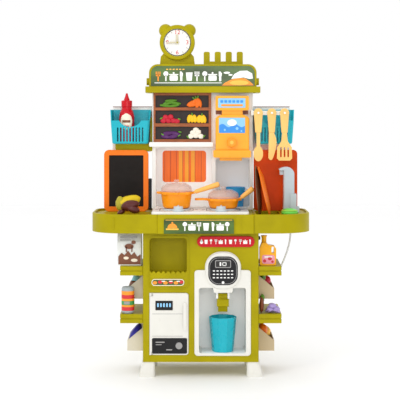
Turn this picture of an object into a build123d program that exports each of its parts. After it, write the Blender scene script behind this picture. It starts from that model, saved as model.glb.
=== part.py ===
"""Toy kitchen: a cabinet with a fridge and a water dispenser, a winged counter with a hob
and a sink, a tower with an alcove and a drinks dispenser, a clock, and its loose play pieces.

Units are millimetres. X runs to the right, Y to the back and Z up. The origin is on the floor
under the middle of the object.
"""

import os
from math import radians, sin, tan

from build123d import *

os.makedirs("parts", exist_ok=True)

# Driving dimensions -------------------------------------------------------------------------
WALL = 3.0  # moulded wall of every casing
FLOOR_GAP = 40.0  # height of the cabinet above the floor
CABINET_HALF = 154.0  # half the cabinet's width
CABINET_FRONT = -95.0
CABINET_BACK = 95.0
SKIRT_LOW = 384.0  # underside of the counter's skirt
COUNTER_TOP = 434.0
COUNTER_HALF = 294.0
COUNTER_FRONT = -118.0
COUNTER_BACK = 110.0
COUNTER_BULGE = 5.0  # how far the middle section stands out of the wings
SEAM_LEFT = -115.0
SEAM_RIGHT = 141.0
TOWER_LEFT = -135.0
TOWER_RIGHT = 145.0
TOWER_FRONT = 50.0
TOWER_BACK = 124.2
TOWER_TOP = 759.0
CANOPY_TOP = 838.0
CANOPY_FRONT = 30.0
CLOCK_X = -65.5
CLOCK_Z = 899.0
CLOCK_R = 49.0
HOB_TOP = 440.0
BURNER_TOP = 444.0
POT_X, PAN_X, COOK_Y = -66.0, 61.0, -28.0
BASKET_FLOOR = 617.0
SHELF_TOPS = (294.0, 167.0)
SHELF_T = 24.0
SHELF_FRONT = -94.0
SHELF_BACK = 80.0
BIN_FRONT = -54.0
BIN_BACK = 72.0
SHELF_REACH = 61.0
BIN_TOPS = (266.0, 126.0)
HOOK_Z = 703.0
PLAY = 0.3  # gap round anything that lifts off or slides


def facing(y):
    """A sketch plane that looks towards the front: local x is X, local y is Z."""
    return Plane.XZ.offset(-y)


def save(piece, name):
    """Labels a finished piece and writes it as its own file."""
    piece.part.label = name
    export_step(piece.part, f"parts/{name}.step")


def block(x0, x1, y0, y1, z0, z1, mode=Mode.ADD):
    """A box between two corners."""
    with Locations(((x0 + x1) / 2, (y0 + y1) / 2, (z0 + z1) / 2)):
        Box(x1 - x0, y1 - y0, z1 - z0, mode=mode)


def panel(x0, x1, z0, z1, y_back, depth, radius, mode=Mode.ADD):
    """A rounded upright panel whose back is at y_back and that stands depth towards the front."""
    with BuildPart() as piece:
        with BuildSketch(facing(y_back)):
            with Locations(((x0 + x1) / 2, (z0 + z1) / 2)):
                RectangleRounded(x1 - x0, z1 - z0, radius)
        extrude(amount=depth)
    add(piece.part, mode=mode)


def slab(x0, x1, y0, y1, z0, depth, radius, mode=Mode.ADD):
    """A rounded flat slab that rises depth from z0."""
    with BuildPart() as piece:
        with BuildSketch(Plane.XY.offset(z0)):
            with Locations(((x0 + x1) / 2, (y0 + y1) / 2)):
                RectangleRounded(x1 - x0, y1 - y0, radius)
        extrude(amount=depth)
    add(piece.part, mode=mode)


def turned(profile, place):
    """A solid of revolution about Z at place, from (radius, height) points in order."""
    with BuildPart() as piece:
        with BuildSketch(Plane.XZ):
            with BuildLine():
                Polyline(*profile, close=True)
            make_face()
        revolve(axis=Axis.Z)
    return piece.part.moved(Location(place))


# Cabinet ------------------------------------------------------------------------------------
NICHE = (-136.0, -37.0, 276.0, 370.0)
NICHE_DEPTH = 52.0
DOOR = (-136.4, -32.8, 59.4, 223.6)  # fridge door, x and z
DOOR_FRONT, DOOR_BACK = -98.0, -92.4
HINGE_X = -133.6
HINGE_Y = (DOOR_FRONT + DOOR_BACK) / 2
HINGE_PIN_R = 1.5
LUG_T = 8.0
DISPENSER = (-17.0, 133.0, 57.0, 285.0)
ARCH = (11.0, 107.0, 230.0, 334.0)
RECESS = (-5.0, 120.0, 64.0, 238.0)
RECESS_BACK = -20.0
SEAT = 0.2  # gap round a casing that sits in an opening


def cabinet_front():
    """Front casing: a shallow tray with the open niche and the openings for the two units."""
    x0, x1, z0, z1 = NICHE
    return_y = CABINET_FRONT + 20
    with BuildPart() as piece:
        block(-CABINET_HALF, CABINET_HALF, CABINET_FRONT, return_y, FLOOR_GAP, SKIRT_LOW)
        fillet(piece.edges().filter_by(Axis.Z).sort_by(Axis.Y)[:2], 2.5)
        block(-CABINET_HALF + WALL, CABINET_HALF - WALL, CABINET_FRONT + WALL, return_y,
              FLOOR_GAP + WALL, SKIRT_LOW - WALL, mode=Mode.SUBTRACT)
        block(x0 - WALL, x1 + WALL, CABINET_FRONT + WALL, CABINET_FRONT + NICHE_DEPTH + WALL,
              z0 - WALL, z1 + WALL)
        panel(x0 - 3, x1 + 6, 235, z1 + 5, CABINET_FRONT, 1.6, 14)
        panel(x0 - 1, x1 + 4, 237, z1 + 3, CABINET_FRONT, 1.6, 12, Mode.SUBTRACT)
        panel(x0, x1, z0, z1, CABINET_FRONT + NICHE_DEPTH, NICHE_DEPTH + 2, 10, Mode.SUBTRACT)
        panel(-137.2, -32.0, 58.6, 224.4, CABINET_FRONT + 9, 12, 8, Mode.SUBTRACT)
        block(-137.2, -120, CABINET_FRONT - 3, CABINET_FRONT + 9, 58.6, 224.4, mode=Mode.SUBTRACT)
        panel(DISPENSER[0] + 2.6, DISPENSER[1] - 2.6, DISPENSER[2] + 2.6, DISPENSER[3] - 2.6,
              CABINET_FRONT + 9, 12, 5, Mode.SUBTRACT)
        panel(ARCH[0] + 4, ARCH[1] - 4, ARCH[2], ARCH[3] - 4, CABINET_FRONT + 9, 12, 40, Mode.SUBTRACT)
        with BuildSketch(facing(CABINET_FRONT)):
            with GridLocations(13, 1, 7, 1):
                with Locations(((x0 + x1) / 2, z0)):
                    Circle(5)
            with Locations(((x0 + x1) / 2, z0 - 4)):
                Rectangle(x1 - x0, 8, mode=Mode.SUBTRACT)
        extrude(amount=-4)
    save(piece, "cabinet_front")


def cabinet_sides():
    """Two side walls joined by the base plate, and the back cover of the cabinet."""
    front = CABINET_FRONT + 20
    with BuildPart() as walls:
        block(-CABINET_HALF, CABINET_HALF, front, CABINET_BACK - WALL, FLOOR_GAP, SKIRT_LOW)
        block(-CABINET_HALF + WALL, CABINET_HALF - WALL, front - 1, CABINET_BACK, FLOOR_GAP + WALL,
              SKIRT_LOW + 1, mode=Mode.SUBTRACT)
        for side in (-1, 1):
            for z in (120.0, 210.0, 330.0):
                inner = side * (CABINET_HALF - WALL)
                block(*sorted((inner, inner - side * 4)), front + 6, CABINET_BACK - WALL, z, z + 2)
    save(walls, "cabinet_walls")
    with BuildPart() as back:
        panel(-CABINET_HALF, CABINET_HALF, FLOOR_GAP, SKIRT_LOW, CABINET_BACK, WALL, 3)
        with BuildSketch(facing(CABINET_BACK)):
            with Locations((0, 330)):
                with GridLocations(16, 1, 9, 1):
                    SlotOverall(30, 6, rotation=90)
        extrude(amount=WALL, mode=Mode.SUBTRACT)
        for x, z in SCREW_PLACES:
            with Locations(Location((x, CABINET_BACK, z), (-90, 0, 0))):
                Hole(SCREW_R + 0.05)
    save(back, "cabinet_back")


SCREW_R = 1.8
SCREW_PLACES = [(x, z) for x in (-144, 144) for z in (60, 210, 360)]


def screws():
    """Six pan-head screws that hold the back cover, each a separate solid."""
    with BuildPart() as piece:
        for x, z in SCREW_PLACES:
            with BuildSketch(facing(CABINET_BACK - WALL)):
                with Locations((x, z)):
                    Circle(SCREW_R)
            extrude(amount=-WALL)
            with BuildSketch(facing(CABINET_BACK)):
                with Locations((x, z)):
                    Circle(3.6)
            extrude(amount=-2.2)
    save(piece, "back_screws")


def feet():
    """Four splayed feet under the cabinet's corners."""
    with BuildPart() as piece:
        for sx in (-1, 1):
            for y in (-74.0, 68.0):
                with BuildSketch(Plane.XY):
                    with Locations((sx * 143.0, y)):
                        RectangleRounded(42, 48, 9)
                with BuildSketch(Plane.XY.offset(12)):
                    with Locations((sx * 143.0, y)):
                        RectangleRounded(41, 47, 9)
                with BuildSketch(Plane.XY.offset(FLOOR_GAP)):
                    with Locations((sx * 138.0, y)):
                        RectangleRounded(32, 38, 8)
                loft(ruled=True)
    save(piece, "feet")


def badge():
    """Red pill-shaped badge over the water dispenser."""
    with BuildPart() as piece:
        panel(-10, 143, 346, 375, CABINET_FRONT, 5, 14.4)
        fillet(piece.faces().sort_by(Axis.Y)[0].edges(), 2)
        panel(-5, 138, 351, 370, CABINET_FRONT - 4.2, 2, 9.4, Mode.SUBTRACT)
    save(piece, "badge")


# Fridge -------------------------------------------------------------------------------------
def fridge():
    """White liner with a shelf and two hinge lugs, and the door that turns on their pins."""
    lug_low = (DOOR[2], DOOR[2] + LUG_T)
    lug_high = (DOOR[3] - LUG_T, DOOR[3])
    with BuildPart() as liner:
        panel(-141, -28.6, 55.2, 227.8, CABINET_FRONT + WALL + 2.4, 2.2, 6)
        block(-131, -37, CABINET_FRONT + WALL + 0.2, -16, 66, 217)
        block(-128, -40, CABINET_FRONT, -19, 69, 214, mode=Mode.SUBTRACT)
        block(-128, -40, -84, -19, 138, 141)
        for low, high in (lug_low, lug_high):
            block(HINGE_X - 2.8, HINGE_X + 2.2, HINGE_Y - 2.0, CABINET_FRONT + WALL + 1, low, high)
        with Locations((HINGE_X, HINGE_Y, lug_low[1] + 3), (HINGE_X, HINGE_Y, lug_high[0] - 3)):
            Cylinder(HINGE_PIN_R, 6.2)
    save(liner, "fridge_liner")
    with BuildPart() as door:
        with BuildSketch(Plane.XY.offset(DOOR[2])):
            with Locations(((HINGE_X + DOOR[1]) / 2, HINGE_Y)):
                Rectangle(DOOR[1] - HINGE_X, DOOR_BACK - DOOR_FRONT)
            with Locations((HINGE_X, HINGE_Y)):
                Circle((DOOR_BACK - DOOR_FRONT) / 2)
        extrude(amount=DOOR[3] - DOOR[2])
        corner = door.edges().filter_by(Axis.Y).group_by(Axis.X)[-1]
        fillet(corner, 7)
        fillet(door.faces().sort_by(Axis.Y)[0].edges().group_by(Axis.X)[-1], 1.2)
        for low, high in ((lug_low[0] - 1, lug_low[1] + 0.4), (lug_high[0] - 0.4, lug_high[1] + 1)):
            block(HINGE_X - 4, HINGE_X + 6.6, DOOR_FRONT - 1, DOOR_BACK + 1, low, high,
                  mode=Mode.SUBTRACT)
        with Locations((HINGE_X, HINGE_Y, (lug_low[1] + lug_high[0]) / 2)):
            Cylinder(HINGE_PIN_R + 0.06, lug_high[0] - lug_low[1], mode=Mode.SUBTRACT)
        panel(-130, -36, 62.5, 105, DOOR_FRONT, 0.8, 4)
        panel(-121, -74, 178, 204, DOOR_FRONT, 0.8, 2)
        panel(-46.5, -38.5, 126, 199, DOOR_FRONT, 5.5, 3.8)
        block(-46.6, -41.5, DOOR_FRONT - 3.6, DOOR_FRONT, 132, 193, mode=Mode.SUBTRACT)
    save(door, "fridge_door")


# Water dispenser ----------------------------------------------------------------------------
TAP_X, TAP_TOP = 59.0, 219.0
TAP_PIN_Z = 212.0
TAP_Y = -62.0


def dispenser():
    """White dispenser housing with a deep recess, its display, its tap lever and the cup."""
    front = CABINET_FRONT - 5
    with BuildPart() as house:
        panel(*DISPENSER, CABINET_FRONT, 5, 9)
        panel(*ARCH, CABINET_FRONT, 5, 42)
        fillet(house.faces().sort_by(Axis.Y)[0].edges(), 2)
        panel(ARCH[0] + 2, ARCH[1] - 2, ARCH[2] + 6, ARCH[3] - 2, front, 5, 40)
        fillet(house.faces().sort_by(Axis.Y)[0].edges(), 3)
        block(RECESS[0] - WALL, RECESS[1] + WALL, CABINET_FRONT, RECESS_BACK + WALL,
              RECESS[2] - WALL, RECESS[3] + WALL)
        block(TAP_X - 42, TAP_X + 42, CABINET_FRONT, -60, RECESS[3], ARCH[3] - 36)
        panel(RECESS[0], RECESS[1], RECESS[2], RECESS[3], RECESS_BACK, 90, 7, Mode.SUBTRACT)
        block(TAP_X - 39, TAP_X + 39, CABINET_FRONT, -63, RECESS[3] + WALL, ARCH[3] - 39,
              mode=Mode.SUBTRACT)
        with BuildSketch(Plane.XZ.offset(60)):
            with BuildLine():
                Polyline((TAP_X - 27, RECESS[3]), (TAP_X + 27, RECESS[3]), (TAP_X + 24, 225),
                         (TAP_X - 24, 225), close=True)
            make_face()
        extrude(amount=40)
        block(TAP_X - 13, TAP_X + 13, -84, -50, 205, 228, mode=Mode.SUBTRACT)
        for side in (-1, 1):
            edge = TAP_X + side * 13
            block(*sorted((edge, edge + side * 5)), -72, -52, 205, 226)
        with Locations(Location((TAP_X, TAP_Y, TAP_PIN_Z), (0, 90, 0))):
            Cylinder(2.2, 27)
    save(house, "dispenser_housing")
    with BuildPart() as display:
        panel(20, 98, 246, 322, front - 5, 1.4, 27)
        fillet(display.faces().sort_by(Axis.Y)[0].edges(), 0.8)
    save(display, "dispenser_display")
    with BuildPart() as tap:
        with BuildSketch(Plane.YZ.offset(TAP_X - 12.6)):
            with BuildLine():
                Polyline((TAP_Y - 6, 218), (TAP_Y + 5, 218), (TAP_Y + 5, 206), (TAP_Y + 1, 190),
                         (TAP_Y + 2, 169), (TAP_Y - 5, 169), (TAP_Y - 9, 186), (TAP_Y - 9, 208),
                         close=True)
            make_face()
        extrude(amount=25.2)
        block(TAP_X - 16, TAP_X + 16, TAP_Y - 14, TAP_Y - 2.8, 184, 204)
        fillet(tap.edges().filter_by(Axis.X).group_by(Axis.Y)[0], 1.5)
        with Locations(Location((TAP_X, TAP_Y, TAP_PIN_Z), (0, 90, 0))):
            Cylinder(2.28, 40, mode=Mode.SUBTRACT)
    save(tap, "dispenser_tap")
    with BuildPart() as cup:
        top_r, low_r, height, skin = 37.0, 28.5, 92.0, 2.0
        for shrink, start, mode in ((0, 0, Mode.ADD), (skin, skin, Mode.SUBTRACT)):
            slope = (top_r - low_r) / height
            with BuildSketch(Plane.XY.offset(RECESS[2] + PLAY + start)):
                with Locations((TAP_X, CUP_Y)):
                    RegularPolygon(low_r + slope * start - shrink, 10)
            with BuildSketch(Plane.XY.offset(RECESS[2] + PLAY + height)):
                with Locations((TAP_X, CUP_Y)):
                    RegularPolygon(top_r - shrink, 10)
            loft(mode=mode)
    save(cup, "cup")


CUP_Y = -64.0


# Counter ------------------------------------------------------------------------------------
def counter_outline(inset):
    """Plan of the whole counter, brought in by inset: round front corners, tighter back ones."""
    half, front, back = COUNTER_HALF - inset, COUNTER_FRONT + inset, COUNTER_BACK - inset
    with BuildSketch() as plan:
        with Locations((0, (front + back) / 2)):
            Rectangle(2 * half, back - front)
        corners = plan.vertices().group_by(Axis.Y)
        fillet(corners[0], 92 - inset)
        fillet(plan.vertices().group_by(Axis.Y)[-1], 40 - inset)
    return plan.sketch


def wing(name, x_out, x_in, deck_z):
    """One wing of the counter: a skirt, a rim and a deck set below the rim."""
    span = abs(x_out - x_in)
    with BuildPart() as piece:
        with BuildSketch(Plane.XY.offset(SKIRT_LOW)):
            add(counter_outline(0))
            with Locations(((x_out + x_in) / 2, 0)):
                Rectangle(span, 400, mode=Mode.INTERSECT)
        extrude(amount=COUNTER_TOP - SKIRT_LOW)
        fillet(piece.faces().sort_by(Axis.Z)[-1].edges().filter_by(Axis.Y, reverse=True), 2.5)
        x_low, x_high = sorted((x_out, x_in))
        with BuildSketch(Plane.XY.offset(deck_z)):
            add(counter_outline(7))
            with Locations(((x_low + x_high) / 2, 0)):
                Rectangle(span - 14, 400, mode=Mode.INTERSECT)
        extrude(amount=60, mode=Mode.SUBTRACT)
        with BuildSketch(Plane.XY.offset(SKIRT_LOW - 1)):
            add(counter_outline(WALL))
            with Locations(((x_low + x_high) / 2, 0)):
                Rectangle(span - 2 * WALL, 400, mode=Mode.INTERSECT)
        extrude(amount=deck_z - WALL - SKIRT_LOW + 1, mode=Mode.SUBTRACT)
        if name == "counter_left_wing":
            for x in (-230.0, -160.0):
                block(x - 1.2, x + 1.2, COUNTER_FRONT + WALL, COUNTER_BACK - WALL, SKIRT_LOW + 12,
                      deck_z - WALL)
        else:
            slab(BASIN[0] - WALL, BASIN[1] + WALL, BASIN[2] - WALL, BASIN[3] + WALL,
                 BASIN_FLOOR - WALL, deck_z - BASIN_FLOOR + WALL, 13)
            slab(BASIN[0], BASIN[1], BASIN[2], BASIN[3], BASIN_FLOOR, 60, 10, Mode.SUBTRACT)
            with Locations((HOSE_TOP[0], HOSE_TOP[1], SKIRT_LOW + 30)):
                Cylinder(5.5, 26)
            with Locations((FAUCET_X, FAUCET_Y, deck_z + 5)):
                Cylinder(FAUCET_PIN_R, 12)
    save(piece, name)


BASIN = (150.0, 214.0, -103.0, 44.0)
BASIN_FLOOR = 418.0
DECK_LEFT = 428.0
DECK_RIGHT = 430.0


def counter_centre():
    """Middle section of the counter, which carries the hob and stands a little proud."""
    front = COUNTER_FRONT - COUNTER_BULGE
    with BuildPart() as piece:
        block(SEAM_LEFT + SEAT, SEAM_RIGHT - SEAT, front, COUNTER_BACK, SKIRT_LOW, COUNTER_TOP)
        fillet(piece.edges().filter_by(Axis.Z).group_by(Axis.Y)[0], 4)
        fillet(piece.faces().sort_by(Axis.Z)[-1].edges().filter_by(Axis.X).sort_by(Axis.Y)[0], 2.5)
        block(SEAM_LEFT + SEAT + WALL, SEAM_RIGHT - SEAT - WALL, front + WALL, COUNTER_BACK - WALL,
              SKIRT_LOW - 1, COUNTER_TOP - WALL, mode=Mode.SUBTRACT)
        for x in (91.0, 107.0):
            block(x - 0.8, x + 0.8, front - 1, front, SKIRT_LOW, COUNTER_TOP - 4)
        panel(-97.6, 87.6, SKIRT_LOW - 10, 423.4, front + 1.2, 4, 6, Mode.SUBTRACT)
    save(piece, "counter_centre")


def hob():
    """White hob plate, two burner rings and two knobs that turn."""
    with BuildPart() as plate:
        slab(-131, 128, -112, 48, COUNTER_TOP, HOB_TOP - COUNTER_TOP, 8)
        fillet(plate.faces().sort_by(Axis.Z)[-1].edges(), 1.5)
        for x in KNOB_X:
            with Locations((x, KNOB_Y, HOB_TOP + 3)):
                Cylinder(SPINDLE_R, 10)
    save(plate, "hob_plate")
    with BuildPart() as rings:
        for x in (POT_X, PAN_X):
            with BuildSketch(Plane.XY.offset(HOB_TOP)):
                with Locations((x, COOK_Y)):
                    Circle(38)
                    Circle(31, mode=Mode.SUBTRACT)
                    with PolarLocations(21, 4):
                        Rectangle(24, 4)
            extrude(amount=BURNER_TOP - HOB_TOP)
    save(rings, "burner_rings")
    for name, x in zip(("left", "right"), KNOB_X):
        with BuildPart() as knob:
            with Locations((x, KNOB_Y, HOB_TOP + PLAY + 3)):
                Cylinder(15.5, 6)
            with Locations((x, KNOB_Y, HOB_TOP + PLAY + 9.5)):
                Cylinder(12.5, 7)
            fillet(knob.faces().sort_by(Axis.Z)[-1].edges(), 1.5)
            block(x - 2, x + 2, KNOB_Y - 11.5, KNOB_Y + 11.5, HOB_TOP + 12, HOB_TOP + 16)
            with Locations((x, KNOB_Y, HOB_TOP + 4)):
                Cylinder(SPINDLE_R + 0.07, 9, mode=Mode.SUBTRACT)
        save(knob, f"hob_knob_{name}")


KNOB_X = (-60.0, 54.0)
KNOB_Y = -86.0
SPINDLE_R = 2.5


# Cookware -----------------------------------------------------------------------------------
def scalloped(radius, lobe, z, depth):
    """A rim disc with eight soft lobes."""
    with BuildPart() as piece:
        with BuildSketch(Plane.XY.offset(z)):
            Circle(radius)
            with PolarLocations(radius - lobe * 1.2, 8):
                Circle(lobe * 2.6)
        extrude(amount=depth)
        fillet(piece.edges().filter_by(GeomType.CIRCLE).group_by(Axis.Z)[-1], 1.2)
    add(piece.part)


def cookware(name, x, top_r, low_r, height, reach, lift, loop):
    """An open pan with a lobed rim, a long raised handle and, if loop is over 0, a loop grip."""
    skin, rim = 2.0, 6.0
    with BuildPart() as piece:
        with BuildSketch(Plane.XY):
            Circle(low_r)
        with BuildSketch(Plane.XY.offset(height)):
            Circle(top_r)
        loft()
        fillet(piece.faces().sort_by(Axis.Z)[0].edges(), 8)
        scalloped(top_r + 3, 3.2, height - rim, rim)
        with BuildSketch(Plane.XY.offset(height - rim + 1)):
            if loop:
                with Locations((-top_r - loop / 2 + 3, 0)):
                    RectangleRounded(loop + 6, 26, 10)
                    RectangleRounded(loop - 8, 14, 6, mode=Mode.SUBTRACT)
            else:
                with Locations((-top_r - 4, 0)):
                    RectangleRounded(14, 26, 5)
        extrude(amount=5)
        with BuildSketch(Plane.XY.offset(height + 1)):
            Circle(top_r - skin)
        with BuildSketch(Plane.XY.offset(skin)):
            Circle(low_r - skin)
        loft(mode=Mode.SUBTRACT)
    grip_plane = Plane(origin=(top_r - 0.5, 0, height - 3.5), x_dir=(0, 1, 0),
                       z_dir=Vector(1, 0, tan(radians(lift))))
    with BuildPart() as grip:
        with BuildSketch(grip_plane):
            RectangleRounded(11, 6, 2.5)
        extrude(amount=12)
        with BuildSketch(grip_plane.offset(9)):
            RectangleRounded(15, 11, 5)
        with BuildSketch(grip_plane.offset(reach)):
            RectangleRounded(20, 15, 7)
        loft()
        fillet(grip.faces().sort_by(Axis.X)[-1].edges(), 5)
    whole = (piece.part + grip.part).moved(Location((x, COOK_Y, BURNER_TOP + PLAY)))
    whole.label = name
    export_step(whole, f"parts/{name}.step")
    low, edge = height + 0.3, top_r - 0.6
    with BuildPart() as lid:
        for inset, drop, mode in ((0.0, 0.0, Mode.ADD), (2.0, 2.0, Mode.SUBTRACT)):
            r = edge - inset
            with BuildSketch(Plane.XZ):
                with BuildLine():
                    Polyline((0, low - drop / 2), (r, low - drop / 2), (r, low + 4))
                    Spline((r, low + 4), (r * 0.93, low + 14 - drop), (r * 0.7, low + 20 - drop),
                           (0, low + 22 - drop), tangents=((0, 1), (-1, 0)))
                    Line((0, low + 22 - drop), (0, low - drop / 2))
                make_face()
            revolve(axis=Axis.Z, mode=mode)
        for r, z0, depth in ((3.5, 20, 8), (7.5, 26, 6)):
            with Locations((0, 0, low + z0 + depth / 2)):
                Cylinder(r, depth)
        fillet(lid.faces().sort_by(Axis.Z)[-1].edges(), 2.4)
    top = lid.part.moved(Location((x, COOK_Y, BURNER_TOP + PLAY)))
    top.label = f"{name}_lid"
    export_step(top, f"parts/{name}_lid.step")


# Tower --------------------------------------------------------------------------------------
ALCOVE = (-125.0, 31.0, 441.0, 606.0)
ALCOVE_BACK = 94.0
BAY = (41.0, 136.0, 441.0, 574.0)
BAY_BACK = 108.0
WINDOW = (-108.0, 15.0, 508.0, 597.0)
PANTRY = (-131.5, 29.0, 622.0, TOWER_TOP)
LEDGE = (-143.0, 34.0, 609.5, 622.0)


def tower():
    """White tower casing with an alcove and a bay, its back cover, and the boards set in it."""
    with BuildPart() as frame:
        block(TOWER_LEFT, TOWER_RIGHT, TOWER_FRONT, TOWER_BACK - WALL, COUNTER_TOP, TOWER_TOP)
        fillet(frame.edges().filter_by(Axis.Z).group_by(Axis.Y)[0], 2.5)
        block(TOWER_LEFT + WALL, TOWER_RIGHT - WALL, TOWER_FRONT + WALL, TOWER_BACK,
              COUNTER_TOP + WALL, TOWER_TOP - WALL, mode=Mode.SUBTRACT)
        for (x0, x1, z0, z1), back in ((ALCOVE, ALCOVE_BACK), (BAY, BAY_BACK)):
            block(x0 - WALL, x1 + WALL, TOWER_FRONT + WALL, back + WALL, z0 - WALL, z1 + WALL)
        for (x0, x1, z0, z1), back in ((ALCOVE, ALCOVE_BACK), (BAY, BAY_BACK)):
            panel(x0, x1, z0, z1, back, 60, 5, Mode.SUBTRACT)
        panel(*WINDOW, ALCOVE_BACK + 5, 12, 9, Mode.SUBTRACT)
        panel(*LEDGE, TOWER_FRONT, 18, 3)
    save(frame, "tower_frame")
    with BuildPart() as cover:
        panel(TOWER_LEFT, TOWER_RIGHT, COUNTER_TOP, TOWER_TOP, TOWER_BACK, WALL, 3)
        with BuildSketch(facing(TOWER_BACK)):
            with Locations((5, 690)):
                with GridLocations(14, 1, 8, 1):
                    SlotOverall(40, 5, rotation=90)
        extrude(amount=WALL, mode=Mode.SUBTRACT)
    save(cover, "tower_back")
    with BuildPart() as board:
        panel(WINDOW[0] - 6, WINDOW[1] + 6, WINDOW[2] - 6, WINDOW[3] + 6, ALCOVE_BACK + WALL + 3, 3, 4)
        with BuildSketch(facing(ALCOVE_BACK + WALL)):
            with Locations(((WINDOW[0] + WINDOW[1]) / 2, (WINDOW[2] + WINDOW[3]) / 2)):
                with GridLocations(26, 1, 4, 1):
                    Rectangle(1.2, WINDOW[3] - WINDOW[2] + 12)
        extrude(amount=-1, mode=Mode.SUBTRACT)
    save(board, "window_board")
    x0, x1, z0, z1 = PANTRY
    with BuildPart() as pantry:
        block(x0, x1, TOWER_FRONT - 8, TOWER_FRONT, z0, z1)
        bay_z = ((z0 + 7.5, 665.0), (674.0, 710.0), (718.0, z1 - 7.0))
        for low, high in bay_z:
            block(x0 + 5.5, x1 - 7, TOWER_FRONT - 9, TOWER_FRONT - 2, low, high, mode=Mode.SUBTRACT)
        fillet(pantry.edges().filter_by(Axis.Z).group_by(Axis.Y)[0], 0.6)
    save(pantry, "pantry_panel")


def drinks():
    """Orange drinks dispenser on the tower with its six-sided knob."""
    with BuildPart() as body:
        panel(41, 132.5, 710, 750, TOWER_FRONT, 30, 4)
        panel(58.5, 115.5, 696, 712, TOWER_FRONT, 24, 2)
        with BuildSketch(facing(TOWER_FRONT)):
            with BuildLine():
                Polyline((41, 599), (133.5, 599), (133.5, 688), (129, 693), (118, 698), (56, 698),
                         (45.5, 693), (41, 688), close=True)
            make_face()
        extrude(amount=30)
        fillet(body.faces().sort_by(Axis.Y)[0].edges(), 3)
        panel(34.5, 138, 580, 600, TOWER_FRONT, 38, 4)
        panel(52, 113.5, 571, 580, TOWER_FRONT - 4, 24, 2)
        panel(47.5, 123.5, 717, 744, TOWER_FRONT - 29, 3, 2, Mode.SUBTRACT)
        panel(49.5, 122.5, 647, 690, TOWER_FRONT - 29, 3, 2, Mode.SUBTRACT)
        with Locations(Location((DRINK_KNOB[0], TOWER_FRONT - 28, DRINK_KNOB[1]), (90, 0, 0))):
            Cylinder(16.5, 7)
        with Locations(Location((DRINK_KNOB[0], TOWER_FRONT - 33, DRINK_KNOB[1]), (90, 0, 0))):
            Cylinder(3, 9)
    save(body, "drinks_dispenser")
    with BuildPart() as knob:
        with BuildSketch(facing(TOWER_FRONT - 31.8)):
            with Locations(DRINK_KNOB):
                RegularPolygon(14.2, 6, rotation=90)
                Circle(3.08, mode=Mode.SUBTRACT)
        extrude(amount=6)
        with BuildSketch(facing(TOWER_FRONT - 37.8)):
            with Locations(DRINK_KNOB):
                RegularPolygon(14.2, 6, rotation=90)
        extrude(amount=4)
        fillet(knob.faces().sort_by(Axis.Y)[0].edges(), 1.5)
    save(knob, "drinks_knob")


DRINK_KNOB = (85.2, 621.6)


# Canopy and clock ---------------------------------------------------------------------------
def canopy():
    """Lime canopy on the tower with its lip, the two sign plates and the top fence."""
    x0, x1 = -143.5, 154.5
    with BuildPart() as shell:
        with BuildSketch(facing(TOWER_BACK)):
            with Locations(((x0 + x1) / 2, (TOWER_TOP + CANOPY_TOP) / 2)):
                Rectangle(x1 - x0, CANOPY_TOP - TOWER_TOP)
            fillet(vertices().group_by(Axis.Y)[-1], 24)
        extrude(amount=TOWER_BACK - CANOPY_FRONT)
        fillet(shell.faces().sort_by(Axis.Y)[0].edges().filter_by(Axis.Z, reverse=True)
               .sort_by(Axis.Z)[1:], 3)
        block(x0 + WALL, x1 - WALL, CANOPY_FRONT + WALL, TOWER_BACK - WALL, TOWER_TOP - 1,
              TOWER_TOP + 50, mode=Mode.SUBTRACT)
        block(x0 + 24, x1 - 24, CANOPY_FRONT + 10, TOWER_BACK - WALL, TOWER_TOP - 1,
              CANOPY_TOP - WALL, mode=Mode.SUBTRACT)
        block(TOWER_LEFT - 18, TOWER_RIGHT + 19.5, CANOPY_FRONT - 8, TOWER_BACK, TOWER_TOP,
              TOWER_TOP + 17)
        block(x0 + WALL, x1 - WALL, CANOPY_FRONT + WALL, TOWER_BACK - WALL, TOWER_TOP - 1,
              TOWER_TOP + 30, mode=Mode.SUBTRACT)
        for side in (x0 - 3.5, x1 + 3.5):
            with Locations(Location((side, CANOPY_FRONT + 22, TOWER_TOP + 31), (0, 90, 0))):
                Cylinder(10, 7.4)
        with BuildSketch(facing(CANOPY_FRONT + 0.6)):
            with Locations(((x0 + x1) / 2, (TOWER_TOP + 18 + CANOPY_TOP - 5) / 2)):
                Rectangle(x1 - x0 - 11, CANOPY_TOP - 5 - TOWER_TOP - 18)
            fillet(vertices().group_by(Axis.Y)[-1], 20)
        extrude(amount=4, mode=Mode.SUBTRACT)
    save(shell, "sign_canopy")
    with BuildPart() as sign:
        with BuildSketch(facing(CANOPY_FRONT + 0.6)):
            with Locations(((x0 + x1) / 2, (TOWER_TOP + 18 + CANOPY_TOP - 5) / 2)):
                Rectangle(x1 - x0 - 11.6, CANOPY_TOP - 5.6 - TOWER_TOP - 18)
            fillet(vertices().group_by(Axis.Y)[-1], 19.7)
        extrude(amount=1.6)
        with BuildSketch(facing(COUNTER_FRONT - COUNTER_BULGE + 1.2)):
            with Locations((-5, (SKIRT_LOW + 423) / 2)):
                Rectangle(184.4, 423 - SKIRT_LOW)
            fillet(vertices().group_by(Axis.Y)[-1], 6)
        extrude(amount=2.4)
    save(sign, "sign_plates")
    with BuildPart() as fence:
        with BuildSketch(facing(72)):
            with Locations((62.8, CANOPY_TOP + 4.5)):
                Rectangle(109.6, 9)
            with Locations((62.8, CANOPY_TOP + 22)):
                with GridLocations(30.8, 1, 4, 1):
                    Rectangle(17, 28)
        extrude(amount=8)
        tips = fence.edges().filter_by(Axis.Y).group_by(Axis.Z)[-1]
        fillet(tips, 4.5)
    save(fence, "top_fence")


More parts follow.
